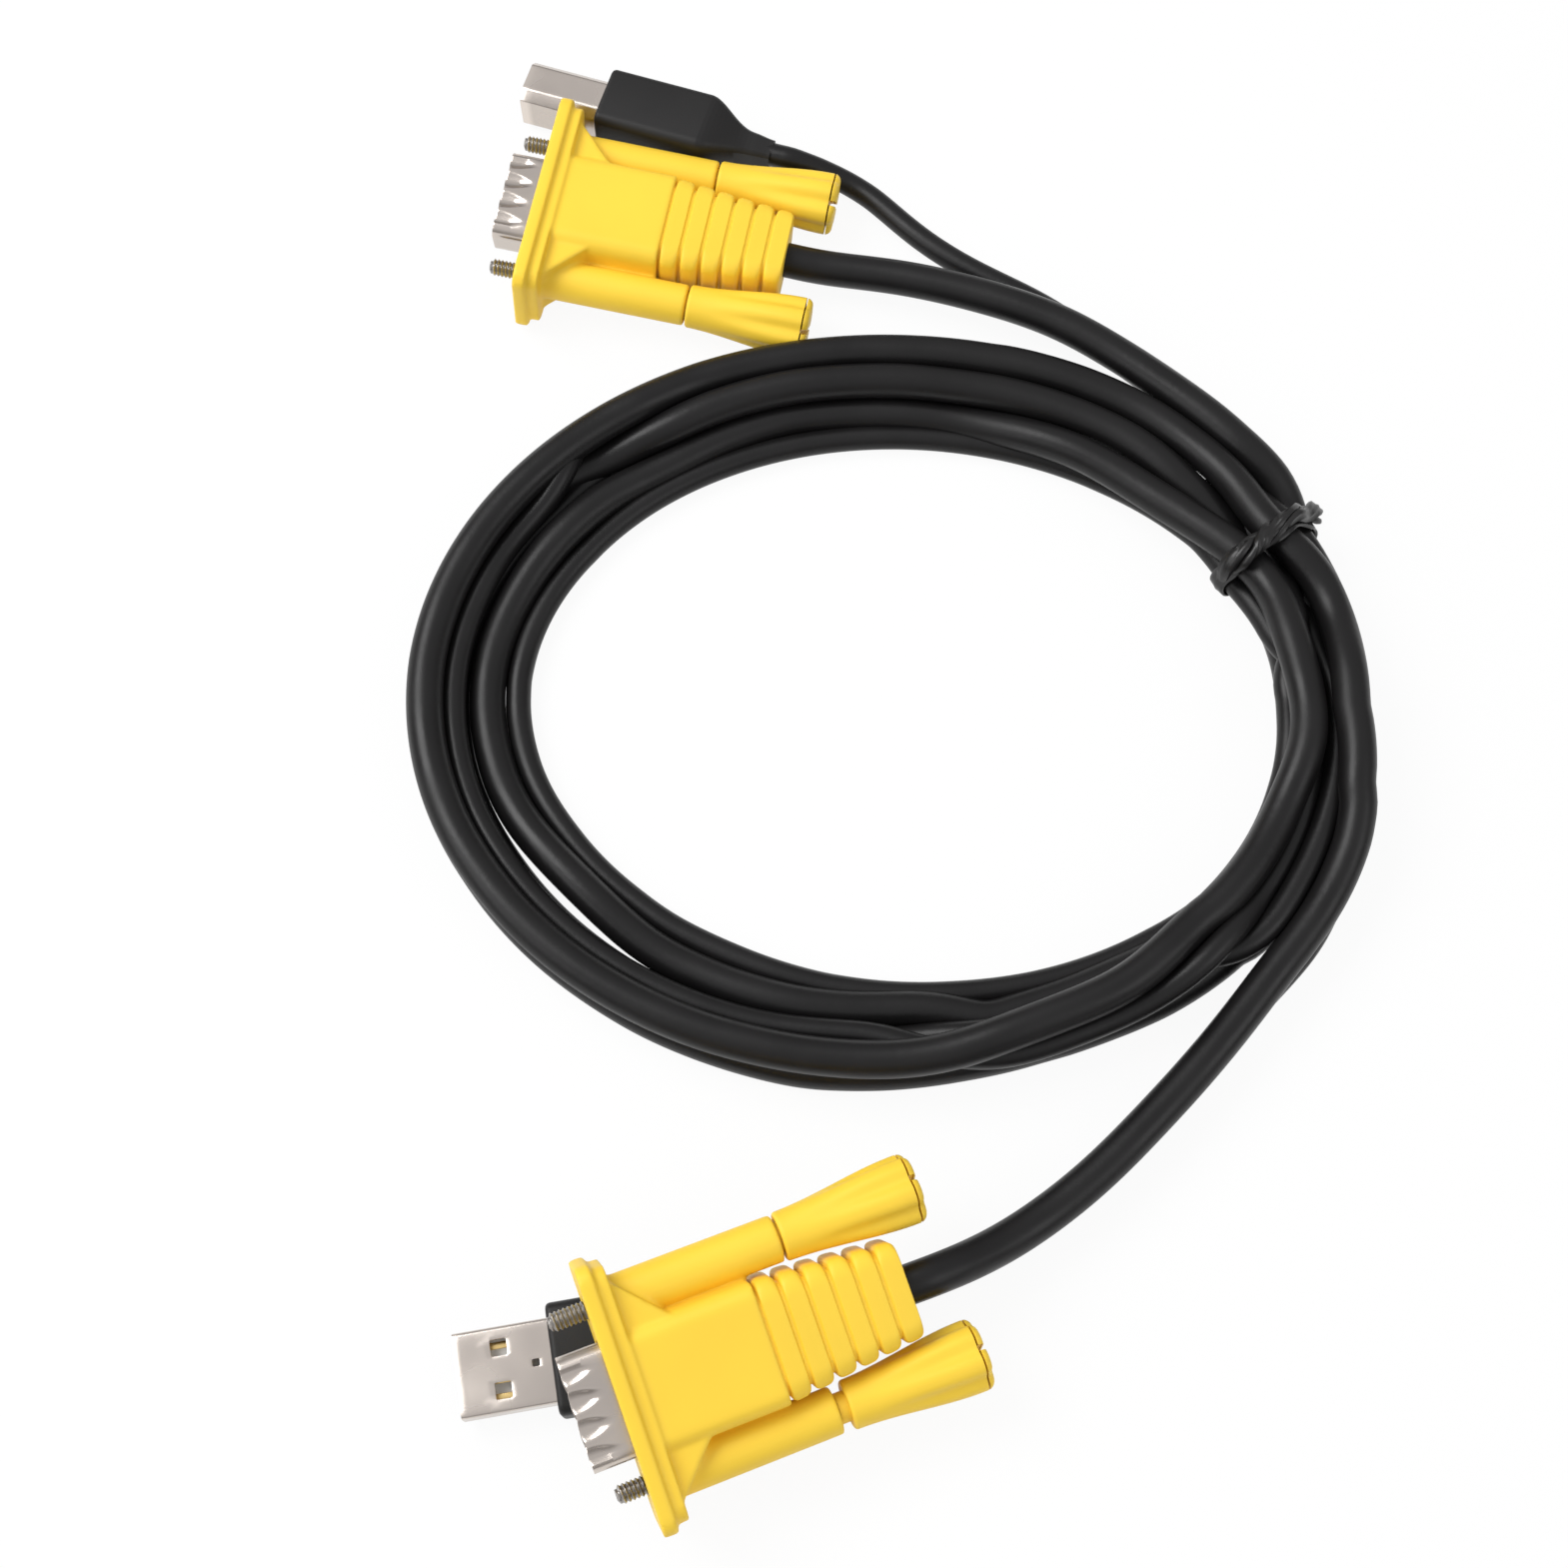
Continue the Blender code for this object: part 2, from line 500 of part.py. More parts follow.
def smooth_points(points, spacing):
    """Points about one spacing apart along a smooth curve through the given ones."""
    ends = [2 * points[0] - points[1], *points, 2 * points[-1] - points[-2]]
    fine = []
    for before, start, end, after in zip(ends, ends[1:], ends[2:], ends[3:]):
        for k in range(CURVE_STEPS):
            t = k / CURVE_STEPS
            fine.append(0.5 * (2 * start + (end - before) * t + (2 * before - 5 * start + 4 * end - after) * t * t
                               + (3 * start - before - 3 * end + after) * t * t * t))
    fine.append(points[-1])
    length = sum((b - a).length for a, b in zip(fine, fine[1:]))
    count = max(2, round(length / spacing))
    chosen = [fine[0]]
    walked = 0.0
    for a, b in zip(fine, fine[1:]):
        step = (b - a).length
        while walked + step >= len(chosen) * length / count - 1e-9 and len(chosen) < count:
            chosen.append(a.lerp(b, (len(chosen) * length / count - walked) / step))
        walked += step
    chosen.append(fine[-1])
    return chosen


def make_lead(name, route, diameter):
    """A round lead along a route of points in metres."""
    curve = bpy.data.curves.new(name, "CURVE")
    curve.dimensions = "3D"
    curve.bevel_depth = diameter / 2
    curve.bevel_resolution = 3 if diameter > USB_LEAD else 2
    curve.use_fill_caps = True
    spline = curve.splines.new("POLY")
    spline.points.add(len(route) - 1)
    for node, p in zip(spline.points, route):
        node.co = (*p, 1.0)
    curve.materials.append(BLACK_LEAD)
    made = bpy.data.objects.new(name, curve)
    PARTS.objects.link(made)


def plug_exit(place, turn, back):
    """The straight first stretch of a lead out of the back of a plug."""
    frame = frame_matrix(place, turn)
    return [frame @ Vector((-back - GAP, 0, 0)), frame @ Vector((-back - LEAD_STRAIGHT, 0, 0))]


def lead_route(start, tail_a, tail_b, end):
    """The whole route beside the coil, from one plug's exit to the other's."""
    middle = [Vector(p) * MM for p in (*tail_a, *tail_b)]
    curved = smooth_points([start[1], *middle, end[1]], LEAD_SPACING)
    return [start[0], *curved, end[0]]


def make_leads():
    usb_back_a = USB_A_REACH + USB_A_GRIP_LENGTH + USB_RELIEF_LENGTH
    usb_back_b = USB_B_REACH + USB_B_GRIP_LENGTH + USB_RELIEF_LENGTH
    video = (plug_exit(*VIDEO_PLUGS["a"][:2], HOOD_LENGTH), VIDEO_TAIL_A, VIDEO_TAIL_B,
             plug_exit(*VIDEO_PLUGS["b"][:2], HOOD_LENGTH))
    usb = (plug_exit(*USB_A_PLACE, usb_back_a), USB_TAIL_A, USB_TAIL_B, plug_exit(*USB_B_PLACE, usb_back_b))
    for name, ends, diameter in (("video", video, VIDEO_LEAD), ("usb", usb, USB_LEAD)):
        route = lead_route(*ends)
        LEAD_ROUTES[name] = (route, diameter)
        joint = Vector(ends[1][-1]) * MM
        k = min(range(len(route)), key=lambda i: (route[i] - joint).length)
        back = (route[k - 1] - route[k + 1]).normalized()
        steps = [back * GAP / 2, back * (GAP / 2 + diameter / 3)]
        make_lead(f"lead_{name}_a", [*route[:k], route[k] + steps[1], route[k] + steps[0]], diameter)
        make_lead(f"lead_{name}_b", [route[k] - steps[0], route[k] - steps[1], *route[k + 1:]], diameter)


def ring_value(stations, angle):
    """A value given at angles round the coil, eased from one to the next."""
    angle %= 360
    around = list(stations) + [(stations[0][0] + 360, stations[0][1])]
    for (start, low), (end, high) in zip(around, around[1:]):
        if start <= angle <= end:
            share = (angle - start) / (end - start)
            share = share * share * (3 - 2 * share)
            return low + (high - low) * share
    return stations[0][1]


def coil_edge(angle):
    """A point of the coil's inner edge, and the way out from it."""
    t = math.radians(angle)
    x = COIL_INNER_LENGTH / 2 * math.cos(t)
    y = COIL_INNER_WIDTH / 2 * math.sin(t)
    out = Vector((math.cos(t) / COIL_INNER_LENGTH, math.sin(t) / COIL_INNER_WIDTH, 0)).normalized()
    turn = Matrix.Rotation(math.radians(COIL_TURN_DEG), 3, "Z")
    return Vector((*COIL_CENTRE, 0)) + turn @ Vector((x, y, 0)), turn @ out


def tie_lift(angle):
    """How far the coil is held off the table: only where the tie passes under it."""
    away = abs((angle - TIE_ANGLE + 180) % 360 - 180)
    return (TIE_THICK + TIE_LIFT) * max(0.0, 1 - (away / TIE_REACH_DEG) ** 2)


def make_coil():
    """Three turns of the bonded leads, as one oval ring with an eased section."""
    bm = bmesh.new()
    rings = []
    for step in range(COIL_STEPS):
        angle = 360 * step / COIL_STEPS
        edge, out = coil_edge(angle)
        width = ring_value(COIL_WIDTHS, angle) * MM
        low = tie_lift(angle)
        outline = rounded_box_outline(width, COIL_HEIGHT - low, 2.7 * MM, steps=2)
        ring = []
        for across, up in outline:
            point = edge + out * (width / 2 + across) + Vector((0, 0, low + (COIL_HEIGHT - low) / 2 + up))
            ring.append(bm.verts.new(point))
        rings.append(ring)
    count = len(rings[0])
    for near, far in zip(rings, rings[1:] + rings[:1]):
        for i in range(count):
            j = (i + 1) % count
            bm.faces.new((near[i], near[j], far[j], far[i]))
    add_mesh_object("coil", bm, BLACK_LEAD, smooth_deg=60)


def crossing(route, edge, along):
    """Where a route passes through the plane of the tie."""
    for a, b in zip(route, route[1:]):
        before = (a - edge).dot(along)
        after = (b - edge).dot(along)
        if before <= 0 < after and (a - edge).length < 0.1:
            return a.lerp(b, before / (before - after))
    return None


def make_tie():
    """A flat wire tie round the coil and the two leads beside it, with its twisted ends on top."""
    edge, out = coil_edge(TIE_ANGLE)
    along = Vector((0, 0, 1)).cross(out)
    reach = ring_value(COIL_WIDTHS, TIE_ANGLE) * MM
    top = COIL_HEIGHT
    for route, diameter in LEAD_ROUTES.values():
        at = crossing(route, edge, along)
        reach = max(reach, (at - edge).dot(out) + diameter / 2)
        top = max(top, at.z + diameter / 2)
    low = TIE_THICK
    width = reach + 4 * GAP
    height = top + 2 * GAP - low
    inner = rounded_box_outline(width, height, TIE_CORNER, steps=4)
    outer = rounded_box_outline(width + 2 * TIE_THICK, height + 2 * TIE_THICK, TIE_CORNER + TIE_THICK, steps=4)
    basis = Matrix((along, out, Vector((0, 0, 1)))).transposed().to_4x4()
    frame = Matrix.Translation(edge + out * (reach / 2) + Vector((0, 0, low + height / 2))) @ basis
    band = prism(outer, TIE_WIDTH / 2, -TIE_WIDTH / 2)
    tie = add_mesh_object("wire_tie", band, BLACK_PLASTIC, smooth_deg=35)
    tie.matrix_world = frame
    hole = add_mesh_object("tie_hole", prism(inner, TIE_WIDTH, -TIE_WIDTH))
    hole.matrix_world = frame
    combine(tie, hole, "DIFFERENCE")
    ends = bmesh.new()
    bmesh.ops.create_cube(ends, size=1.0, matrix=Matrix.Diagonal((0.8 * TIE_WIDTH, TIE_END_LENGTH, TIE_THICK, 1.0)))
    bmesh.ops.translate(ends, verts=ends.verts, vec=(0, 0, height / 2 + 1.2 * TIE_THICK))
    twist = add_mesh_object("tie_ends", ends)
    twist.matrix_world = frame
    combine(tie, twist, "UNION")


clear_scene()
PARTS = make_collection("kvm_cable")
CUTTERS = make_collection("cutters")
LEAD_ROUTES = {}
YELLOW = make_material("yellow_pvc", (0.93, 0.62, 0.05), 0.42)
NICKEL = make_material("nickel_shell", (0.50, 0.45, 0.42), 0.25, 1.0)
STEEL = make_material("screw_steel", (0.62, 0.60, 0.58), 0.3, 1.0)
GOLD = make_material("gold_contact", (0.83, 0.61, 0.26), 0.3, 1.0)
BLACK_PLASTIC = make_material("black_moulding", (0.022, 0.021, 0.021), 0.5)
WHITE_PLASTIC = make_material("tongue_plastic", (0.75, 0.74, 0.70), 0.5)
BLACK_LEAD = make_material("black_lead", (0.02, 0.02, 0.021), 0.4)
for plug in VIDEO_PLUGS:
    make_video_plug(plug)
make_usb_a()
make_usb_b()
make_leads()
make_coil()
make_tie()
bpy.context.view_layer.update()
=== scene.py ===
"""The looks of a combined video and USB cable: yellow video plugs with thumbscrews, a USB-A and a USB-B plug,
and a bonded pair of black leads wound into an oval coil and held by a wire tie.

Metres in the frame, millimetres in the named sizes. Each plug has its own frame: +X out of its mating end,
+Y across, +Z through its thickness.
"""
import json
import math

import bmesh
import bpy
import numpy as np
from mathutils import Matrix, Vector


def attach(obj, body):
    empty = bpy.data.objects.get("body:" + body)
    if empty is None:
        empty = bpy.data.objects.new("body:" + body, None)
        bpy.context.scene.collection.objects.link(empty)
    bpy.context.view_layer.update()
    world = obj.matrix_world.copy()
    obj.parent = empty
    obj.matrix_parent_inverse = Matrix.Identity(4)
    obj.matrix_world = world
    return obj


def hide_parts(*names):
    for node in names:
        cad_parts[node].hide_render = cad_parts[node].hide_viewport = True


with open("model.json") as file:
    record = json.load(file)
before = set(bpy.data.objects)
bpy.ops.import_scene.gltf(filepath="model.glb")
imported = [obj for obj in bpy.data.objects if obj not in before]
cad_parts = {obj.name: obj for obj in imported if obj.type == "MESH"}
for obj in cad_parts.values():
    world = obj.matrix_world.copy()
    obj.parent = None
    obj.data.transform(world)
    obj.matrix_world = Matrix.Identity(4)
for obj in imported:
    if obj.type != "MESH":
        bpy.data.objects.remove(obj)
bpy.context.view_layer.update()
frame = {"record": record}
MM = 0.001

# The camera looks down at the cable, which lies on a white table under a large soft lamp with two weaker
# ones beside it. To the camera and in reflections the table is almost pure white, with the cable's shadow.
CAMERA_PLACE = (0.0095, -0.1343, 0.3401)
CAMERA_TILT_DEG = 20.3
CAMERA_LENS_MM = 52.77
SENSOR_MM = 36.0
TABLE_SIZE = 3.0
TABLE_DROP = 0.05 * MM
TABLE_COLOUR = (0.86, 0.86, 0.86, 1.0)
TABLE_WHITE_SHARE = 0.93
# place, aimed at, width, power in watts
LAMPS = {
    "lamp_above": ((-0.55, 0.25, 0.75), (0.03, 0.0, 0.0), 0.55, 6.4),
    "lamp_left": ((-0.62, -0.22, 0.42), (0.0, 0.0, 0.0), 0.40, 1.0),
    "lamp_right": ((0.60, -0.30, 0.50), (0.05, 0.0, 0.0), 0.40, 0.9),
}
SKY_HIGH = (0.70, 0.70, 0.71, 1.0)
SKY_LOW = (0.26, 0.25, 0.25, 1.0)

scene = bpy.context.scene
scene.view_settings.view_transform = "Standard"
camera_data = bpy.data.cameras.new("camera")
camera_data.lens = CAMERA_LENS_MM
camera_data.sensor_width = SENSOR_MM
camera_data.clip_start = 0.01
camera = bpy.data.objects.new("camera", camera_data)
camera.location = CAMERA_PLACE
camera.rotation_euler = (math.radians(CAMERA_TILT_DEG), 0, 0)
scene.collection.objects.link(camera)
scene.camera = camera

for lamp_name, (place, aim, width, watts) in LAMPS.items():
    light = bpy.data.lights.new(lamp_name, "AREA")
    light.shape = "SQUARE"
    light.size = width
    light.energy = watts
    lamp = bpy.data.objects.new(lamp_name, light)
    lamp.location = place
    lamp.rotation_euler = (Vector(place) - Vector(aim)).to_track_quat("Z", "Y").to_euler()
    scene.collection.objects.link(lamp)


def add_node(tree, kind, **settings):
    """A node with its settings, ready to be linked."""
    node = tree.nodes.new(kind)
    for name, value in settings.items():
        setattr(node, name, value)
    return node


def seen_directly(tree):
    """1 for rays from the camera and for reflections and glass, 0 for light that falls on things."""
    path = add_node(tree, "ShaderNodeLightPath")
    with_gloss = add_node(tree, "ShaderNodeMath", operation="MAXIMUM")
    with_glass = add_node(tree, "ShaderNodeMath", operation="MAXIMUM")
    tree.links.new(path.outputs["Is Camera Ray"], with_gloss.inputs[0])
    tree.links.new(path.outputs["Is Glossy Ray"], with_gloss.inputs[1])
    tree.links.new(with_gloss.outputs[0], with_glass.inputs[0])
    tree.links.new(path.outputs["Is Transmission Ray"], with_glass.inputs[1])
    return with_glass.outputs[0]


world = bpy.data.worlds.new("studio")
scene.world = world
world.use_nodes = True
sky = world.node_tree
sky.nodes.clear()
direction = add_node(sky, "ShaderNodeTexCoord")
split = add_node(sky, "ShaderNodeSeparateXYZ")
rise = add_node(sky, "ShaderNodeMapRange", interpolation_type="SMOOTHSTEP")
rise.inputs["From Min"].default_value = 0.0
rise.inputs["From Max"].default_value = 0.85
shade = add_node(sky, "ShaderNodeMix", data_type="RGBA")
shade.inputs["A"].default_value = SKY_LOW
shade.inputs["B"].default_value = SKY_HIGH
sky_light = add_node(sky, "ShaderNodeBackground")
sky_white = add_node(sky, "ShaderNodeBackground")
sky_white.inputs["Color"].default_value = (1, 1, 1, 1)
sky_path = add_node(sky, "ShaderNodeLightPath")
sky_mix = add_node(sky, "ShaderNodeMixShader")
sky_out = add_node(sky, "ShaderNodeOutputWorld")
sky.links.new(direction.outputs["Generated"], split.inputs[0])
sky.links.new(split.outputs["Z"], rise.inputs["Value"])
sky.links.new(rise.outputs["Result"], shade.inputs["Factor"])
sky.links.new(shade.outputs["Result"], sky_light.inputs["Color"])
sky.links.new(sky_path.outputs["Is Camera Ray"], sky_mix.inputs[0])
sky.links.new(sky_light.outputs[0], sky_mix.inputs[1])
sky.links.new(sky_white.outputs[0], sky_mix.inputs[2])
sky.links.new(sky_mix.outputs[0], sky_out.inputs["Surface"])

table_paint = bpy.data.materials.new("table_white")
table_paint.use_nodes = True
paint = table_paint.node_tree
paint.nodes["Principled BSDF"].inputs["Base Color"].default_value = TABLE_COLOUR
paint.nodes["Principled BSDF"].inputs["Roughness"].default_value = 0.9
paint.nodes["Principled BSDF"].inputs["Specular IOR Level"].default_value = 0.0
table_glow = add_node(paint, "ShaderNodeEmission")
table_glow.inputs["Color"].default_value = (1, 1, 1, 1)
table_share = add_node(paint, "ShaderNodeMath", operation="MULTIPLY")
table_share.inputs[1].default_value = TABLE_WHITE_SHARE
table_mix = add_node(paint, "ShaderNodeMixShader")
paint.links.new(seen_directly(paint), table_share.inputs[0])
paint.links.new(table_share.outputs[0], table_mix.inputs[0])
paint.links.new(paint.nodes["Principled BSDF"].outputs[0], table_mix.inputs[1])
paint.links.new(table_glow.outputs[0], table_mix.inputs[2])
paint.links.new(table_mix.outputs[0], paint.nodes["Material Output"].inputs["Surface"])

table_top = bmesh.new()
bmesh.ops.create_grid(table_top, x_segments=1, y_segments=1, size=TABLE_SIZE / 2,
                      matrix=Matrix.Translation((0, 0, -TABLE_DROP)))
table_mesh = bpy.data.meshes.new("table")
table_top.to_mesh(table_mesh)
table_top.free()
table_mesh.materials.append(table_paint)
table = bpy.data.objects.new("table", table_mesh)
scene.collection.objects.link(table)

# The two leads: a 5.8 mm video lead and a 4 mm USB lead in soft black PVC jackets. They are bonded side by
# side all the way but for the last hand's breadth at each end, and wound by hand into three oval turns,
# which lie over, under and beside each other as the bundle was laid down.
VIDEO_LEAD = 5.8
USB_LEAD = 4.0
BOND = (VIDEO_LEAD + USB_LEAD) / 2
COIL_CENTRE = (28.4, 4.1)
COIL_INNER_LENGTH = 118.0
COIL_INNER_WIDTH = 91.0
COIL_TURN_DEG = -3.5
INTO_PLUG = 1.2
LEAD_STRAIGHT = 6.0
HOOD_LENGTH = 42.8
# Where each USB plug lies and the way it points, then the lengths of its shell, its grip and its relief
USB_A_PLACE = ((-36.9, -100.1, 3.7), 189.8)
USB_B_PLACE = ((-35.0, 118.9, 5.25), 162.5)
USB_A_REACH = 13.7
USB_B_REACH = 14.0
USB_A_GRIP_LENGTH = 33.0
USB_B_GRIP_LENGTH = 26.5
USB_RELIEF_LENGTH = 4.0
# Each station of the turns: degrees round from +X, how far the video lead lies out from the inner edge,
# its height, and the degrees by which the USB lead is rolled round it, from outward up over the top.
TURNS = (
    # first turn: from the tie round the outside, then over the inner pass
    (31, 9.8, 9.8, -30), (45, 12.6, 8.4, -72), (52, 14.2, 8.0, -72), (60, 15.2, 7.4, -76),
    (75, 15.6, 6.9, -92), (90, 16.0, 6.9, -95), (110, 16.2, 6.9, -98), (130, 16.4, 7.2, -115),
    (150, 16.6, 8.2, -140), (180, 16.6, 8.7, -150), (205, 16.4, 8.7, -150), (225, 16.0, 8.7, -148),
    (245, 15.4, 8.8, -146), (262, 14.2, 9.0, -140), (280, 11.8, 9.8, -110), (300, 8.0, 10.0, -60),
    (320, 5.0, 10.0, -40), (340, 3.4, 10.0, -45),
    # second turn: on top at the right, then down along the inner edge
    (360, 2.6, 10.2, -50), (391, 3.2, 10.0, -120), (403, 1.8, 9.0, -105), (415, 2.4, 7.6, -105),
    (435, 5.2, 4.6, -150), (455, 6.7, 3.0, -170), (490, 6.9, 2.9, -170), (520, 7.2, 2.9, -170),
    (545, 7.4, 2.9, -170), (565, 6.4, 3.6, -160), (575, 5.2, 4.9, -142), (583, 4.8, 5.0, -138),
    (600, 6.8, 3.4, -165), (630, 7.2, 2.9, -170), (655, 6.9, 3.0, -170), (685, 6.6, 3.2, -165),
    (720, 3.6, 2.9, 130),
    # third turn: below at the right, between the others at the top, low and outside at the left
    (751, 4.0, 2.9, 30), (762, 6.4, 4.8, -50), (771, 8.4, 6.2, -92), (780, 9.4, 6.8, -92),
    (795, 9.6, 7.0, -85), (815, 10.2, 7.4, -77), (840, 11.2, 6.2, -100), (862, 13.2, 4.6, -135),
    (885, 15.4, 3.0, -162), (900, 16.4, 2.9, -168), (925, 16.4, 2.9, -170), (950, 15.8, 2.9, -170),
    (975, 15.2, 2.9, 170), (990, 14.2, 2.9, 150), (1020, 11.0, 2.9, 130), (1045, 10.2, 2.9, 110),
    (1065, 9.6, 2.9, 100), (1080, 9.0, 2.9, 100), (1096, 10.8, 2.9, 140), (1111, 14.0, 3.0, 185),
)
# Degrees round the coil, then the least and the most that the turns reach out from the inner edge, as seen.
REACHES = (
    (0, 0.0, 14.8), (20, 0.6, 16.8), (30, 0.0, 18.0), (40, 1.0, 22.0), (60, 0.4, 26.0),
    (80, 0.1, 21.0), (120, -0.4, 21.1), (150, -0.7, 20.5), (180, 0.1, 20.0), (210, -0.6, 18.8),
    (240, -0.6, 18.7), (260, 0.1, 18.3), (270, 0.2, 17.0), (280, 0.2, 15.6), (290, 0.4, 14.4),
    (310, 0.6, 13.8), (320, 1.0, 13.4), (330, 0.6, 20.0), (345, 0.1, 16.4), (360, 0.0, 14.8),
)
REACHES_HEIGHT = 3.0
# The leads beside the coil, from the plugs of each end to where they join the turns
VIDEO_TAIL_A = (
    (42.0, -81.1, 8.6), (54.0, -72.4, 7.0), (63.4, -63.4, 6.9), (70.2, -56.4, 6.9), (78.0, -47.5, 7.2),
    (83.0, -40.9, 7.7), (88.1, -32.5, 8.4), (92.3, -23.0, 8.9), (96.0, -12.5, 8.9), (97.8, -0.5, 8.9),
    (97.8, 11.5, 8.9), (96.1, 22.5, 8.9),
)
VIDEO_TAIL_B = (
    (83.0, 47.5, 8.2), (73.8, 57.7, 8.0), (63.4, 66.0, 7.7), (53.1, 72.4, 7.5), (38.8, 77.9, 6.8),
    (26.0, 81.4, 6.1),
)
USB_TAIL_A = (
    (33.8, -84.9, 2.6), (43.0, -79.9, 2.1), (54.8, -71.5, 2.1), (64.2, -62.6, 2.0), (71.0, -55.6, 2.0),
    (79.0, -46.8, 2.3), (84.6, -41.0, 3.0), (90.9, -33.9, 3.7), (94.9, -23.9, 3.9), (98.5, -13.0, 3.9),
    (100.2, -0.5, 3.9), (100.2, 11.9, 3.9), (98.4, 23.4, 3.9),
)
USB_TAIL_B = (
    (84.8, 49.2, 3.1), (74.8, 58.9, 2.5), (65.2, 67.4, 2.1), (54.2, 77.0, 2.0), (43.0, 83.4, 2.0),
    (34.5, 89.4, 2.0), (27.8, 95.6, 2.0), (21.2, 101.9, 2.1),
)
# How many points of each tail lie between a plug and the place where the bond starts or ends
VIDEO_LOOSE_A = 1
USB_LOOSE_A = 2
VIDEO_LOOSE_B = 5
STATION_STEP_DEG = 8.0
POINT_SPACING = 2.5
# How the leads settle: how hard they are drawn to their stations and the table, the gap that they keep, how
# stiff they are, and how the push where they touch and the pull of the bond are shared out
SETTLE_ROUNDS = 300
TARGET_PULL = 0.03
SINK = 0.02
CLEARANCE = 0.12
STIFFNESS = 0.11
TOUCH_SHARE = 0.6
VIDEO_BOND_SHARE = 0.7
USB_BOND_SHARE = 1.3
HELD_POINTS = 3
# Which points are tried for touching, and how often the choice is made again
PAIR_RANGE = 9.0
LEAD_NEIGHBOURS = 8
BOND_NEIGHBOURS = 6
PAIR_ROUNDS = 15
LEAD_COLOUR = (0.0072, 0.0068, 0.0070, 1.0)


def flat_frame(place, turn_deg):
    """The frame of a plug that lies flat on the table."""
    return Matrix.Translation(Vector(place) * MM) @ Matrix.Rotation(math.radians(turn_deg), 4, "Z")


def video_frame(tag):
    """The frame of a video plug, from the axes of its two thumbscrews."""
    pivots = {j["name"]: j for j in frame["record"]["behaviour"]["joints"]}
    far = Vector(pivots[f"turn_{tag}_far"]["pos_m"])
    near = Vector(pivots[f"turn_{tag}_near"]["pos_m"])
    along = Vector(pivots[f"turn_{tag}_far"]["axis"]).normalized()
    across = (near - far).normalized()
    basis = Matrix((along, across, along.cross(across))).transposed().to_4x4()
    return Matrix.Translation((far + near) / 2) @ basis


VIDEO_FRAMES = {"a": video_frame("a"), "b": video_frame("b")}
USB_A_FRAME = flat_frame(*USB_A_PLACE)
USB_B_FRAME = flat_frame(*USB_B_PLACE)


def plug_exit(plug, back):
    """Where a lead leaves a plug, in millimetres: a point just inside it and one straight behind it."""
    inside = plug @ Vector(((INTO_PLUG - back) * MM, 0, 0)) / MM
    behind = plug @ Vector(((-back - LEAD_STRAIGHT) * MM, 0, 0)) / MM
    return np.array(inside), np.array(behind)


def coil_edge(degrees):
    """A point of the coil's inner edge, and the way out from it."""
    t = math.radians(degrees)
    turn = np.array(Matrix.Rotation(math.radians(COIL_TURN_DEG), 2))
    point = np.array((COIL_INNER_LENGTH / 2 * math.cos(t), COIL_INNER_WIDTH / 2 * math.sin(t)))
    out = np.array((math.cos(t) / COIL_INNER_LENGTH, math.sin(t) / COIL_INNER_WIDTH))
    return COIL_CENTRE + turn @ point, turn @ (out / np.linalg.norm(out))


def eased(stations, values, at):
    """A value given at stations, eased from one to the next."""
    i = int(np.clip(np.searchsorted(stations, at, side="right") - 1, 0, len(stations) - 2))
    share = (at - stations[i]) / (stations[i + 1] - stations[i])
    share = 0.5 * share * share * (3 - 2 * share) + 0.5 * share
    return values[i] + (values[i + 1] - values[i]) * share


def wound_turns():
    """Both leads along the turns, at every few degrees."""
    table_of_turns = np.array(TURNS, float)
    degrees, out_by, height = table_of_turns[:, 0], table_of_turns[:, 1], table_of_turns[:, 2]
    roll = np.rad2deg(np.unwrap(np.deg2rad(table_of_turns[:, 3])))
    video, usb = [], []
    for start, end in zip(degrees, degrees[1:]):
        steps = max(1, round((end - start) / STATION_STEP_DEG))
        for k in range(steps + (end == degrees[-1])):
            at = start + (end - start) * k / steps
            edge, out = coil_edge(at)
            angle = math.radians(eased(degrees, roll, at))
            reach = eased(degrees, out_by, at)
            rise_here = eased(degrees, height, at)
            video.append((*(edge + out * reach), rise_here))
            usb.append((*(edge + out * (reach + BOND * math.cos(angle))), rise_here + BOND * math.sin(angle)))
    return video, usb


def smooth_path(points, counts):
    """A smooth curve through points, with its own number of steps in each stretch."""
    p = np.array(points, float)
    ends = np.vstack([2 * p[0] - p[1], p, 2 * p[-1] - p[-2]])
    path = []
    for (before, start, end, after), steps in zip(zip(ends, ends[1:], ends[2:], ends[3:]), counts):
        square = 2 * before - 5 * start + 4 * end - after
        cubic = 3 * start - before - 3 * end + after
        for k in range(steps):
            t = k / steps
            path.append(0.5 * (2 * start + (end - before) * t + square * t * t + cubic * t ** 3))
    path.append(p[-1])
    return np.array(path)


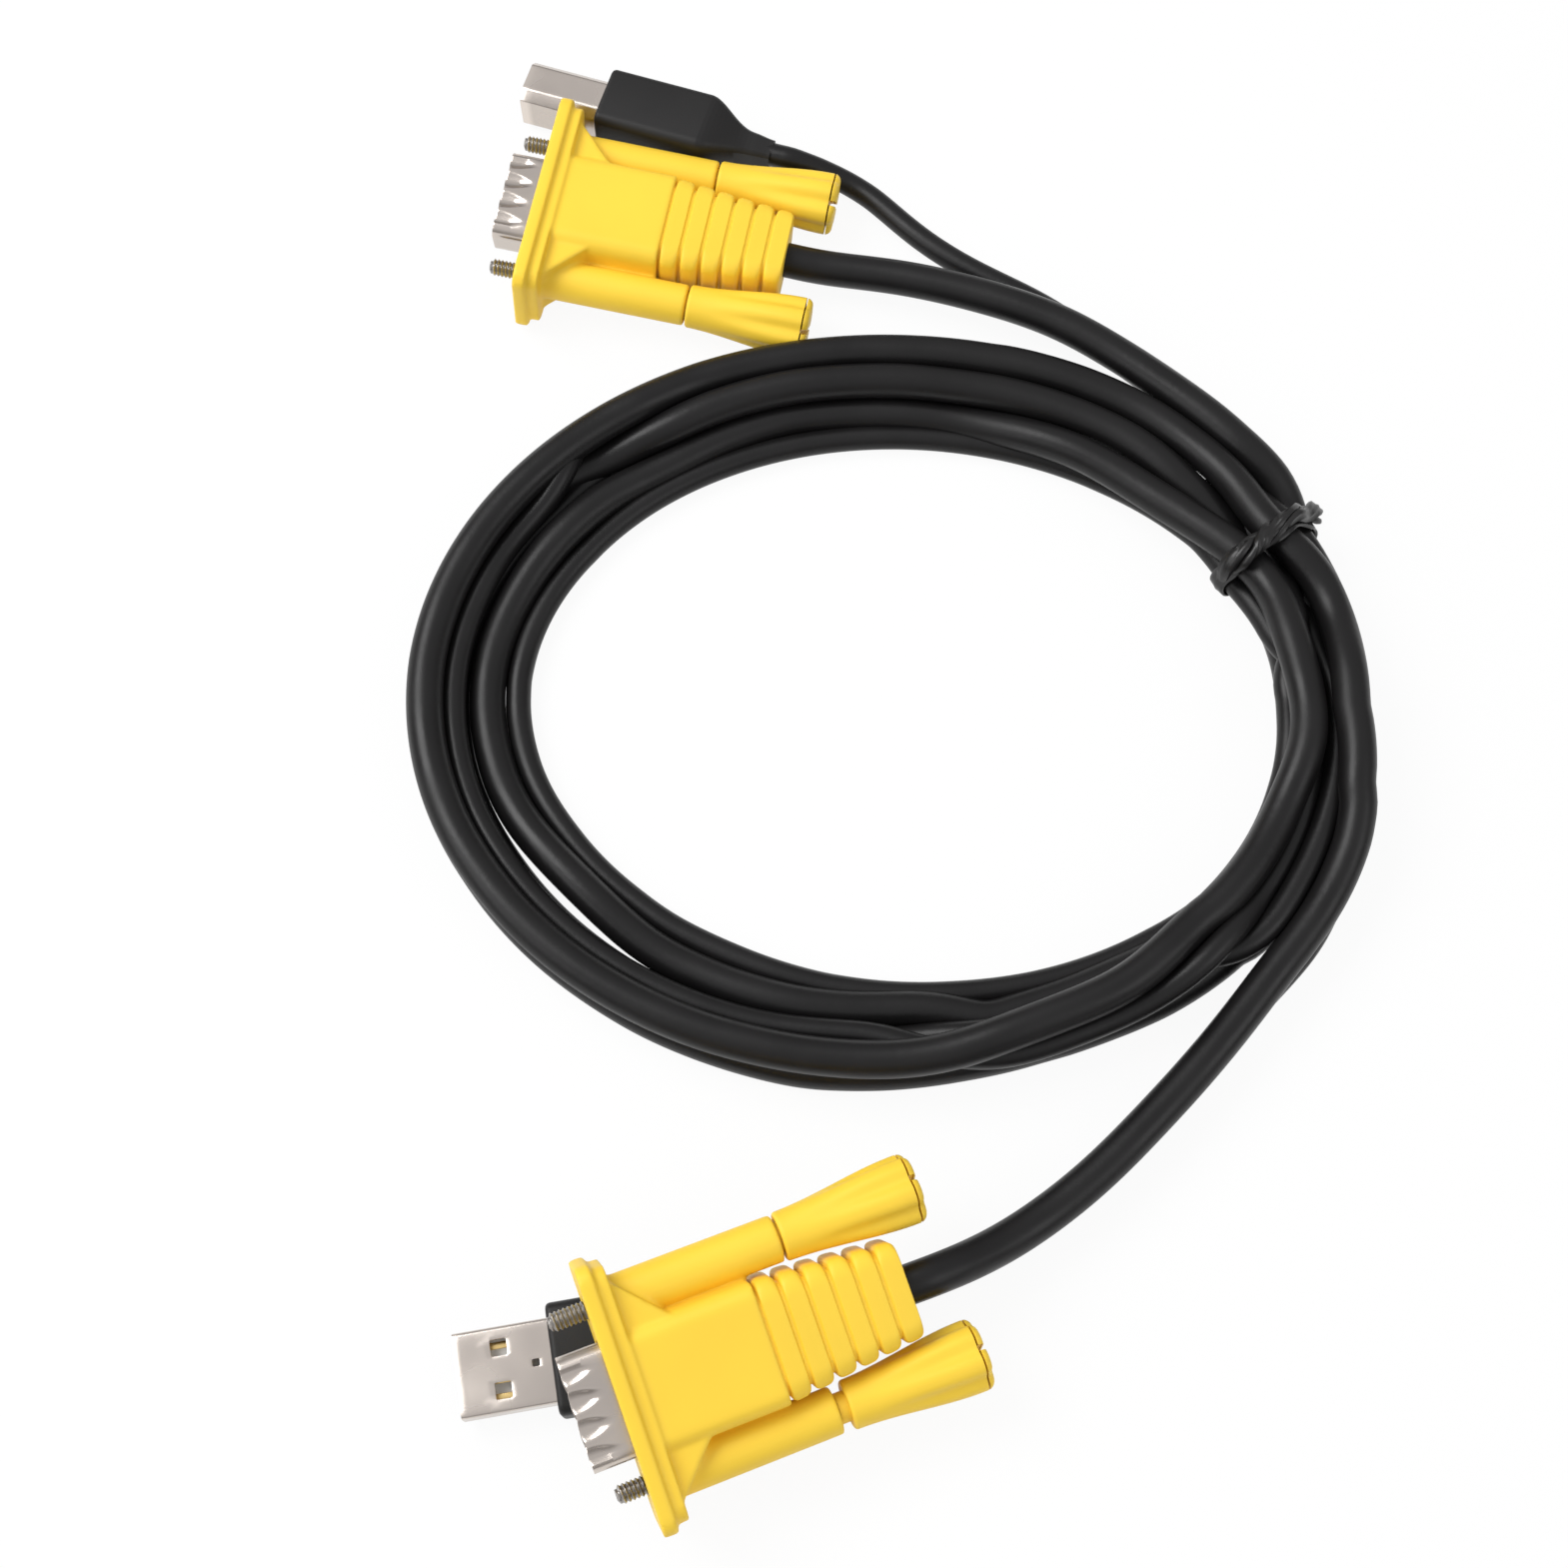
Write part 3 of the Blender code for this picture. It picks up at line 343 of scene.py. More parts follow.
def keep_in_reach(points, radius, in_coil):
    """Hold the turns between the edges of the coil as they are seen from the camera."""
    turn = np.array(Matrix.Rotation(math.radians(COIL_TURN_DEG), 2))
    foot = np.array(CAMERA_PLACE[:2]) / MM
    local = (points[:, :2] - COIL_CENTRE) @ turn
    a, b = COIL_INNER_LENGTH / 2, COIL_INNER_WIDTH / 2
    t = np.arctan2(local[:, 1] / b, local[:, 0] / a)
    for _ in range(3):
        x_miss = a * np.cos(t) - local[:, 0]
        y_miss = b * np.sin(t) - local[:, 1]
        slope = y_miss * b * np.cos(t) - x_miss * a * np.sin(t)
        bend = (a * np.sin(t)) ** 2 + (b * np.cos(t)) ** 2 - x_miss * a * np.cos(t) - y_miss * b * np.sin(t)
        t = t - slope / bend
    out = np.stack([np.cos(t) * b, np.sin(t) * a], 1)
    out /= np.linalg.norm(out, axis=1)[:, None]
    distance = ((local - np.stack([a * np.cos(t), b * np.sin(t)], 1)) * out).sum(1)
    out = out @ turn.T
    lean = ((points[:, :2] - foot) * out).sum(1) / (CAMERA_PLACE[2] / MM - points[:, 2])
    reaches = np.array(REACHES)
    degrees = np.rad2deg(t) % 360
    seen = lean * (points[:, 2] - REACHES_HEIGHT)
    least = np.interp(degrees, reaches[:, 0], reaches[:, 1]) + radius - seen
    most = np.interp(degrees, reaches[:, 0], reaches[:, 2]) - radius - seen
    points[:, :2] += out * ((np.clip(distance, least, most) - distance) * in_coil)[:, None]
    return points


def close_pairs(points, lead, place, bonded_place):
    """Points that may touch: near each other, but not neighbours on one lead or across the bond."""
    gap = points[:, None, :] - points[None, :, :]
    first, second = np.nonzero(np.triu((gap * gap).sum(-1) < PAIR_RANGE ** 2, 1))
    same = lead[first] == lead[second]
    along = same & (np.abs(place[first] - place[second]) < LEAD_NEIGHBOURS)
    bonded = ~same & (bonded_place[first] >= 0) & (bonded_place[second] >= 0)
    bonded &= np.abs(bonded_place[first] - bonded_place[second]) < BOND_NEIGHBOURS
    return first[~(along | bonded)], second[~(along | bonded)]


def settle_leads(video, usb, video_bond, usb_bond, in_coil):
    """Let the two leads find their places: bonded, stiff, on the table and never through each other."""
    points = np.vstack([video, usb])
    wanted = points.copy()
    split_at = len(video)
    radius = np.repeat([VIDEO_LEAD / 2, USB_LEAD / 2], [len(video), len(usb)])
    lead = np.repeat([0, 1], [len(video), len(usb)])
    place = np.r_[np.arange(len(video)), np.arange(len(usb))]
    usb_bond = usb_bond + split_at
    bonded_place = np.full(len(points), -1)
    bonded_place[video_bond] = np.arange(len(video_bond))
    bonded_place[usb_bond] = np.arange(len(usb_bond))
    held = np.r_[0:HELD_POINTS, split_at - HELD_POINTS:split_at + HELD_POINTS, -HELD_POINTS:0]
    for turn in range(SETTLE_ROUNDS):
        if turn % PAIR_ROUNDS == 0:
            first, second = close_pairs(points, lead, place, bonded_place)
        points = points + TARGET_PULL * (wanted - points)
        points[:, 2] -= SINK
        apart = points[second] - points[first]
        distance = np.linalg.norm(apart, axis=1)
        push = np.maximum(0, radius[first] + radius[second] + CLEARANCE - distance)
        move = apart / np.maximum(distance, 1e-6)[:, None] * (push / 2)[:, None]
        shift = np.zeros_like(points)
        touches = np.zeros(len(points))
        np.add.at(shift, first, -move)
        np.add.at(shift, second, move)
        np.add.at(touches, first[push > 0], 1)
        np.add.at(touches, second[push > 0], 1)
        points += shift / np.maximum(1, touches * TOUCH_SHARE)[:, None]
        for _ in range(2):
            apart = points[usb_bond] - points[video_bond]
            distance = np.linalg.norm(apart, axis=1)[:, None]
            close = apart / distance * (distance - BOND) / 2
            points[video_bond] += close * VIDEO_BOND_SHARE
            points[usb_bond] -= close * USB_BOND_SHARE
        for run in (slice(0, split_at), slice(split_at, None)):
            for _ in range(2):
                line = points[run]
                bend = line[:-4] - 4 * line[1:-3] + 6 * line[2:-2] - 4 * line[3:-1] + line[4:]
                line[2:-2] -= STIFFNESS * bend
        points = keep_in_reach(points, radius, in_coil)
        points[:, 2] = np.maximum(points[:, 2], radius)
        points[held] = wanted[held]
    return points[:split_at], points[split_at:]


def lay_leads():
    """The centrelines of both leads, in millimetres."""
    turns = wound_turns()
    start_video = plug_exit(VIDEO_FRAMES["a"], HOOD_LENGTH)
    end_video = plug_exit(VIDEO_FRAMES["b"], HOOD_LENGTH)
    start_usb = plug_exit(USB_A_FRAME, USB_A_REACH + USB_A_GRIP_LENGTH + USB_RELIEF_LENGTH)
    end_usb = plug_exit(USB_B_FRAME, USB_B_REACH + USB_B_GRIP_LENGTH + USB_RELIEF_LENGTH)
    video = [*start_video, *VIDEO_TAIL_A, *turns[0], *VIDEO_TAIL_B, end_video[1], end_video[0]]
    usb = [*start_usb, *USB_TAIL_A, *turns[1], *USB_TAIL_B, end_usb[1], end_usb[0]]
    counts = [[max(1, round(np.linalg.norm(np.subtract(b, a)) / POINT_SPACING))
               for a, b in zip(line, line[1:])] for line in (video, usb)]
    first_video, first_usb = 2 + VIDEO_LOOSE_A, 2 + USB_LOOSE_A
    bonded = len(video) - first_video - VIDEO_LOOSE_B
    counts[1][first_usb:first_usb + bonded - 1] = counts[0][first_video:first_video + bonded - 1]
    bond_points = sum(counts[0][first_video:first_video + bonded - 1]) + 1
    video_bond = sum(counts[0][:first_video]) + np.arange(bond_points)
    usb_bond = sum(counts[1][:first_usb]) + np.arange(bond_points)
    in_coil = []
    for steps, tail in zip(counts, (VIDEO_TAIL_A, USB_TAIL_A)):
        free = np.zeros(sum(steps) + 1)
        free[sum(steps[:len(tail) - 2]):sum(steps[:len(tail) + len(turns[0]) - 1])] = 1.0
        in_coil.append(free)
    return settle_leads(smooth_path(video, counts[0]), smooth_path(usb, counts[1]), video_bond, usb_bond,
                        np.concatenate(in_coil))


def make_lead(name, centreline, diameter, finish):
    """A round lead along its centreline."""
    path = smooth_path(centreline, [2] * (len(centreline) - 1)) * MM
    curve = bpy.data.curves.new(name, "CURVE")
    curve.dimensions = "3D"
    curve.bevel_depth = diameter / 2 * MM
    curve.bevel_resolution = 7
    curve.use_fill_caps = True
    spline = curve.splines.new("POLY")
    spline.points.add(len(path) - 1)
    for point, place in zip(spline.points, path):
        point.co = (*place, 1.0)
    curve.materials.append(finish)
    lead = bpy.data.objects.new(name, curve)
    scene.collection.objects.link(lead)
    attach(lead, "cable")
    return lead


def new_group(name, inputs, outputs):
    """A shader node group with named sockets, and its two end nodes."""
    group = bpy.data.node_groups.new(name, "ShaderNodeTree")
    for socket, value in inputs.items():
        made = group.interface.new_socket(socket, in_out="INPUT", socket_type="NodeSocketFloat")
        made.default_value = value
    for socket in outputs:
        group.interface.new_socket(socket, in_out="OUTPUT", socket_type="NodeSocketFloat")
    return group, group.nodes.new("NodeGroupInput"), group.nodes.new("NodeGroupOutput")


def grain_group():
    """Moulded skin: a fine unevenness, and a slow drift of tone."""
    group, start, end = new_group("moulded_grain", {"Size": 0.0006, "Depth": 0.5}, ("Height", "Tone"))
    coords = add_node(group, "ShaderNodeTexCoord")
    per_metre = add_node(group, "ShaderNodeMath", operation="DIVIDE")
    per_metre.inputs[0].default_value = 1.0
    group.links.new(start.outputs["Size"], per_metre.inputs[1])
    fine = add_node(group, "ShaderNodeTexNoise")
    fine.inputs["Detail"].default_value = 3.0
    group.links.new(coords.outputs["Object"], fine.inputs["Vector"])
    group.links.new(per_metre.outputs[0], fine.inputs["Scale"])
    depth = add_node(group, "ShaderNodeMath", operation="MULTIPLY")
    group.links.new(fine.outputs["Fac"], depth.inputs[0])
    group.links.new(start.outputs["Depth"], depth.inputs[1])
    group.links.new(depth.outputs[0], end.inputs["Height"])
    slow = add_node(group, "ShaderNodeTexNoise")
    slow.inputs["Scale"].default_value = 90.0
    slow.inputs["Detail"].default_value = 2.0
    group.links.new(coords.outputs["Object"], slow.inputs["Vector"])
    group.links.new(slow.outputs["Fac"], end.inputs["Tone"])
    return group


def wear_group():
    """1 along outer edges, where handling polishes a surface, and 0 elsewhere."""
    group, start, end = new_group("edge_wear", {"Start": 0.52, "End": 0.62}, ("Edge",))
    shape = add_node(group, "ShaderNodeNewGeometry")
    ramp = add_node(group, "ShaderNodeMapRange")
    group.links.new(shape.outputs["Pointiness"], ramp.inputs["Value"])
    group.links.new(start.outputs["Start"], ramp.inputs["From Min"])
    group.links.new(start.outputs["End"], ramp.inputs["From Max"])
    group.links.new(ramp.outputs["Result"], end.inputs["Edge"])
    return group


MOULDED_GRAIN = grain_group()
EDGE_WEAR = wear_group()


def use_group(tree, group, **values):
    """Place a group in a material with its own values."""
    node = add_node(tree, "ShaderNodeGroup", node_tree=group)
    for socket, value in values.items():
        node.inputs[socket].default_value = value
    return node


def blend_colours(tree, mask, low, high):
    """A colour that goes from low to high as the mask rises."""
    mix = add_node(tree, "ShaderNodeMix", data_type="RGBA")
    mix.inputs["A"].default_value = low
    mix.inputs["B"].default_value = high
    tree.links.new(mask, mix.inputs["Factor"])
    return mix.outputs["Result"]


def spread(tree, value, low, high):
    """The middle of a noise's range, spread over another range."""
    node = add_node(tree, "ShaderNodeMapRange")
    node.inputs["From Min"].default_value = 0.3
    node.inputs["From Max"].default_value = 0.7
    node.inputs["To Min"].default_value = low
    node.inputs["To Max"].default_value = high
    tree.links.new(value, node.inputs["Value"])
    return node.outputs["Result"]


def lighter(colour, factor):
    """The same colour, lighter or darker."""
    return (colour[0] * factor, colour[1] * factor, colour[2] * factor, 1.0)


def new_finish(name, grain_size, grain_depth, roughness, bump_depth, bump_strength, sockets):
    """A material with the moulded grain in its roughness and relief: the material, its tree and the tone."""
    finish = bpy.data.materials.new(name)
    finish.use_nodes = True
    tree = finish.node_tree
    shader = tree.nodes["Principled BSDF"]
    for socket, value in sockets.items():
        shader.inputs[socket].default_value = value
    grain = use_group(tree, MOULDED_GRAIN, Size=grain_size, Depth=grain_depth)
    tree.links.new(spread(tree, grain.outputs["Tone"], *roughness), shader.inputs["Roughness"])
    bump = add_node(tree, "ShaderNodeBump")
    bump.inputs["Distance"].default_value = bump_depth
    bump.inputs["Strength"].default_value = bump_strength
    tree.links.new(grain.outputs["Height"], bump.inputs["Height"])
    tree.links.new(bump.outputs["Normal"], shader.inputs["Normal"])
    return finish, tree, grain.outputs["Tone"]


def drifting_colour(tree, tone, colour, darkest, lightest):
    """One colour that drifts slowly between a darker and a lighter shade."""
    return blend_colours(tree, tone, lighter(colour, darkest), lighter(colour, lightest))


def paint_with(tree, colour):
    """Give a material its colour."""
    tree.links.new(colour, tree.nodes["Principled BSDF"].inputs["Base Color"])


def jacket_finish():
    """Soft PVC jacket: near-black, satin, with a faint unevenness from the extruder."""
    finish, tree, tone = new_finish("black_lead", 0.0012, 0.6, (0.32, 0.46), 0.0001, 0.5,
                                    {"Specular IOR Level": 0.30})
    paint_with(tree, drifting_colour(tree, tone, LEAD_COLOUR, 0.75, 1.35))
    return finish


JACKET = jacket_finish()
video_line, usb_line = lay_leads()
video_cord = make_lead("video_cord", video_line, VIDEO_LEAD, JACKET)
usb_cord = make_lead("usb_cord", usb_line, USB_LEAD, JACKET)
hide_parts("lead_video_a", "lead_video_b", "coil")
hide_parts("lead_usb_a", "lead_usb_b")

# The wire tie: a flat black plastic ribbon with a wire in it, passed round the three turns and the two leads
# beside them, its two ends twisted together and laid down across the top.
TIE_ANGLE = 31.0
TIE_WIDTH = 3.2
TIE_THICK = 0.9
TIE_WIRE = 0.5
TIE_CLEARANCE = 0.15
TIE_TWISTS = 1.3
TIE_TWIST_RADIUS = 0.95
TIE_TWIST_PUFF = 1.9
TIE_TWIST_FROM = 0.06
TIE_TWIST_TO = 0.50
TIE_SWAY = 0.35
TIE_REACH = 60.0
TIE_COLOUR = (0.010, 0.0095, 0.0095, 1.0)
LOOP_STEPS = 180


def add_piece(name, bm, finish, nodes, body="cable", smooth_deg=35):
    """Make a bmesh a named piece that stands for its nodes and rides on its body."""
    mesh = bpy.data.meshes.new(name)
    bm.to_mesh(mesh)
    bm.free()
    mesh.materials.append(finish)
    mesh.shade_smooth()
    mesh.set_sharp_from_angle(angle=math.radians(smooth_deg))
    piece = bpy.data.objects.new(name, mesh)
    scene.collection.objects.link(piece)
    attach(piece, body)
    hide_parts(*nodes)
    return piece


def plane_crossings(centreline, edge, along):
    """Where a lead passes through the plane of the tie."""
    found = []
    offsets = (centreline - edge) @ along
    for i in np.nonzero(offsets[:-1] * offsets[1:] <= 0)[0]:
        share = offsets[i] / (offsets[i] - offsets[i + 1])
        at = centreline[i] + (centreline[i + 1] - centreline[i]) * share
        if np.linalg.norm(at - edge) < TIE_REACH:
            found.append(at)
    return found


def tie_section():
    """The ribbon's cross-section, across and through it: two thin wings and the wire's round in the middle."""
    half = TIE_WIDTH / 2
    wing = TIE_THICK * 0.32
    core = TIE_THICK / 2
    side = [(half, 0.0), (half * 0.92, wing * 0.8), (half * 0.55, wing), (TIE_WIRE, wing * 1.15), (0.0, core),
            (-TIE_WIRE, wing * 1.15), (-half * 0.55, wing), (-half * 0.92, wing * 0.8), (-half, 0.0)]
    return side + [(across, -through) for across, through in side[-2:0:-1]]


def sweep_ribbon(bm, path, wide, through, closed):
    """Sweep the ribbon's section along a path: one ring at each point, bridged to the next."""
    rings = []
    for point, w, t in zip(path, wide, through):
        ring = [bm.verts.new((point + w * a + t * b) * MM) for a, b in tie_section()]
        rings.append([bm.edges.new((ring[i - 1], ring[i])) for i in range(len(ring))])
    pairs = list(zip(rings, rings[1:])) + ([(rings[-1], rings[0])] if closed else [])
    for near, far in pairs:
        bmesh.ops.bridge_loops(bm, edges=near + far)
    if not closed:
        for ring in (rings[0], rings[-1]):
            bmesh.ops.contextual_create(bm, geom=ring)


def evenly(path, faces, count):
    """Points at even distances along a closed path, with the way each faces."""
    closed = np.vstack([path, path[:1]])
    facing = np.vstack([faces, faces[:1]])
    walked = np.r_[0, np.cumsum(np.linalg.norm(np.diff(closed, axis=0), axis=1))]
    at = walked[-1] * np.arange(count) / count
    points = np.stack([np.interp(at, walked, closed[:, i]) for i in range(3)], 1)
    ways = np.stack([np.interp(at, walked, facing[:, i]) for i in range(3)], 1)
    return points, ways / np.linalg.norm(ways, axis=1)[:, None]


def make_tie():
    """The loop round the bundle and the twisted ends on it."""
    edge2, out2 = coil_edge(TIE_ANGLE)
    edge = np.array((*edge2, 0.0))
    out = np.array((*out2, 0.0))
    up = np.array((0.0, 0.0, 1.0))
    along = np.cross(up, out)
    discs = [(at, radius) for line, radius in ((video_line, VIDEO_LEAD / 2), (usb_line, USB_LEAD / 2))
             for at in plane_crossings(line, edge, along)]
    # the taut loop: in each direction it lies on the lead that reaches furthest
    path, faces = [], []
    for k in range(LOOP_STEPS):
        angle = 2 * math.pi * k / LOOP_STEPS
        way = out * math.cos(angle) + up * math.sin(angle)
        centre, radius = max(discs, key=lambda disc: float(disc[0] @ way) + disc[1])
        point = centre + way * (radius + TIE_CLEARANCE + TIE_THICK / 2)
        point[2] = max(point[2], TIE_THICK / 2)
        path.append(point)
        faces.append(way)
    path, faces = evenly(np.array(path), np.array(faces), LOOP_STEPS)
    bm = bmesh.new()
    sway = [Vector(along) * TIE_SWAY * math.sin(0.21 * k) for k in range(LOOP_STEPS)]
    sweep_ribbon(bm, [Vector(p) + s for p, s in zip(path, sway)], [Vector(along)] * len(path),
                 [Vector(f) for f in faces], True)
    # the two ends, loosely twisted and pressed down over the loop from its outer to its inner side, with
    # a few waves of different lengths for the turns and crumples that fingers leave
    first, last = round(TIE_TWIST_FROM * LOOP_STEPS), round(TIE_TWIST_TO * LOOP_STEPS)
    for side in (0.0, math.pi):
        line, wide, through = [], [], []
        for k in range(first, last + 1):
            share = (k - first) / (last - first)
            way = faces[k]
            turn = 2 * math.pi * TIE_TWISTS * share + 0.5 * math.sin(9.0 * share) + side
            spin = along * math.cos(turn) + way * math.sin(turn)
            crumple = 0.20 * math.sin(19.0 * share + 2 * side) + 0.08 * math.sin(37.0 * share + side)
            lift = TIE_TWIST_RADIUS + TIE_THICK / 2 + crumple
            wander = 0.5 * math.sin(6.0 * share) + 0.2 * math.sin(17.0 * share + side)
            middle = path[k] + way * lift + along * wander
            line.append(Vector(middle + spin * TIE_TWIST_RADIUS * 0.7))
            ended = max(0.15, 1 - (2 * share - 1) ** 8) ** 0.5
            across = Vector(way * math.cos(turn) * 0.62 - along * math.sin(turn))
            wide.append(across * (0.95 + 0.2 * crumple) * ended)
            through.append(Vector(spin) * TIE_TWIST_PUFF * ended)
        sweep_ribbon(bm, line, wide, through, False)
    bmesh.ops.remove_doubles(bm, verts=bm.verts, dist=0.00001)
    bmesh.ops.recalc_face_normals(bm, faces=bm.faces)
    return add_piece("wire_tie_ribbon", bm, tie_finish(), ["wire_tie"], smooth_deg=60)


def tie_finish():
    """Thin black plastic, a little glossier than the jackets."""
    finish, tree, tone = new_finish("tie_plastic", 0.0005, 0.6, (0.26, 0.42), 0.0001, 0.4,
                                    {"Specular IOR Level": 0.4})
    paint_with(tree, drifting_colour(tree, tone, TIE_COLOUR, 0.7, 1.5))
    return finish


wire_tie = make_tie()

# The video plug's hood: soft yellow PVC moulded in one shot over the contacts and the lead. A stepped flange,
# flat-topped gussets that run back to two screw sleeves, and a block that ends in six ribs as strain relief.
# Each sleeve is bored for its screw, and its back end is opened for the collar of the screw's grip.
SCREW_SPACING = 24.99
SCREW_RADIUS = 1.42
FLANGE_WIDTH = 38.0
FLANGE_HEIGHT = 15.3
FLANGE_FRONT_THICK = 2.2
FLANGE_BACK_THICK = 1.8
FLANGE_STEP = 0.9
FLANGE_CORNER = 2.6
GUSSET_LENGTH = 7.5
GUSSET_HEIGHT = 10.6
GUSSET_INSET = 2.4
SLEEVE_RADIUS = 3.4
SLEEVE_LENGTH = 28.2
KNOB_COLLAR = 1.4
KNOB_COLLAR_RADIUS = 2.2
BODY_WIDTH = 17.6
BODY_HEIGHT = 12.4
BODY_CORNER = 2.4
BODY_EXTRA = 0.2
RIB_COUNT = 6
RIB_PITCH = 3.48
RIB_OVERLAP = 1.5
FIRST_RIB = 0.3
GROOVE_HALF = 0.3
RIB_TOP_EASE = 0.12
RIB_SIDE_EASE = 0.1
RIB_SIDE_POWER = 3.4
RIB_SIDE_DEPTH = 1.15
RIB_TOP_DEPTH = 0.38
RIB_SHOULDER = 1.3
RIB_END_WIDTH = 13.8
RIB_END_HEIGHT = 10.2
RIB_STEP = 0.116
D_WIDTH = 17.2
D_HEIGHT = 8.6
D_CORNER = 2.5
D_SLANT_DEG = 10.0
D_SEAT = 3.8
FIT = 0.3
VOXEL = 0.28
HOOD_SMOOTHING = 10
YELLOW = (0.93, 0.625, 0.045, 1.0)


def round_edges(bm, edges, radius, segments):
    """Round some edges of a bmesh."""
    bmesh.ops.bevel(bm, geom=list(edges), offset=radius * MM, segments=segments, profile=0.5,
                    affect="EDGES", material=-1)


def round_shape(bm, verts, radius, segments, edges_along=None):
    """Round the edges of one shape in a bmesh, or only those along an axis."""
    edges = {edge for vert in verts for edge in vert.link_edges}
    if edges_along is not None:
        axis = Vector(edges_along)
        edges = {e for e in edges if abs((e.verts[0].co - e.verts[1].co).normalized().dot(axis)) > 0.7}
    round_edges(bm, edges, radius, segments)


def add_block(bm, front, back, width, height, back_width=None):
    """A box between two places along the plug, which may taper to its back."""
    middle = Matrix.Translation(((front + back) / 2 * MM, 0, 0))
    size = Matrix.Diagonal(((front - back) * MM, width * MM, height * MM, 1.0))
    verts = bmesh.ops.create_cube(bm, size=1.0, matrix=middle @ size)["verts"]
    for vert in verts:
        if vert.co.x < (front + back) / 2 * MM:
            vert.co.y *= (back_width or width) / width
    return verts


def add_rod(bm, front, back, radius, across=0.0, segments=48):
    """A round bar along the plug."""
    middle = Matrix.Translation(((front + back) / 2 * MM, across * MM, 0))
    lying = middle @ Matrix.Rotation(math.radians(90), 4, "Y")
    return bmesh.ops.create_cone(bm, cap_ends=True, segments=segments, radius1=radius * MM,
                                 radius2=radius * MM, depth=(front - back) * MM, matrix=lying)["verts"]


def add_screw_rods(bm, front, back, radius):
    """A round bar on the axis of each of a plug's two thumbscrews."""
    for side in (-1, 1):
        add_rod(bm, front, back, radius, side * SCREW_SPACING / 2)


def d_corners(grow):
    """The corners of the D-shaped outline, grown or shrunk all round."""
    half_height = D_HEIGHT / 2 + grow
    top = D_WIDTH / 2 + grow
    bottom = top - 2 * half_height * math.tan(math.radians(D_SLANT_DEG))
    return [(top, half_height), (-top, half_height), (-bottom, -half_height), (bottom, -half_height)]


def outline_face(corners, corner, segments=6):
    """A flat face across the plug, with rounded corners."""
    bm = bmesh.new()
    bm.faces.new([bm.verts.new((0, y * MM, z * MM)) for y, z in corners])
    bmesh.ops.bevel(bm, geom=bm.verts[:], offset=corner * MM, segments=segments, profile=0.5,
                    affect="VERTICES", material=-1)
    return bm


def push_out(bm, faces, step):
    """Extrude faces along the plug and return the faces at the new end."""
    made = bmesh.ops.extrude_face_region(bm, geom=faces)["geom"]
    bmesh.ops.translate(bm, verts=[g for g in made if isinstance(g, bmesh.types.BMVert)], vec=(step * MM, 0, 0))
    return [g for g in made if isinstance(g, bmesh.types.BMFace)]


def prism(corners, corner, front, back):
    """A closed bar of one outline between two places along the plug."""
    bm = outline_face(corners, corner)
    bmesh.ops.translate(bm, verts=bm.verts, vec=(back * MM, 0, 0))
    push_out(bm, bm.faces[:], front - back)
    bmesh.ops.recalc_face_normals(bm, faces=bm.faces)
    return bm


def loose_object(bm):
    """An object that is only worked with, and removed again."""
    mesh = bpy.data.meshes.new("work")
    bm.to_mesh(mesh)
    bm.free()
    made = bpy.data.objects.new("work", mesh)
    scene.collection.objects.link(made)
    return made


def with_modifiers(bm, *steps):
    """Work modifiers into a bmesh: each step is a kind, its settings and maybe a bmesh to join or to cut."""
    work = loose_object(bm)
    tools = []
    for kind, settings, *tool in steps:
        modifier = work.modifiers.new(kind.lower(), kind)
        for key, value in settings.items():
            setattr(modifier, key, value)
        if tool:
            tools.append(loose_object(tool[0]))
            modifier.object = tools[-1]
    depsgraph = bpy.context.evaluated_depsgraph_get()
    done = bmesh.new()
    done.from_mesh(work.evaluated_get(depsgraph).to_mesh())
    for used in (work, *tools):
        bpy.data.objects.remove(used, do_unlink=True)
    return done


def cut(tool):
    """The step that cuts a bmesh away."""
    return "BOOLEAN", {"operation": "DIFFERENCE", "solver": "EXACT"}, tool


def eased_share(value, start, end):
    """How far a value has come from start to end: 0 to 1, gently at both."""
    share = min(1.0, max(0.0, (value - start) / (end - start)))
    return share * share * (3 - 2 * share)


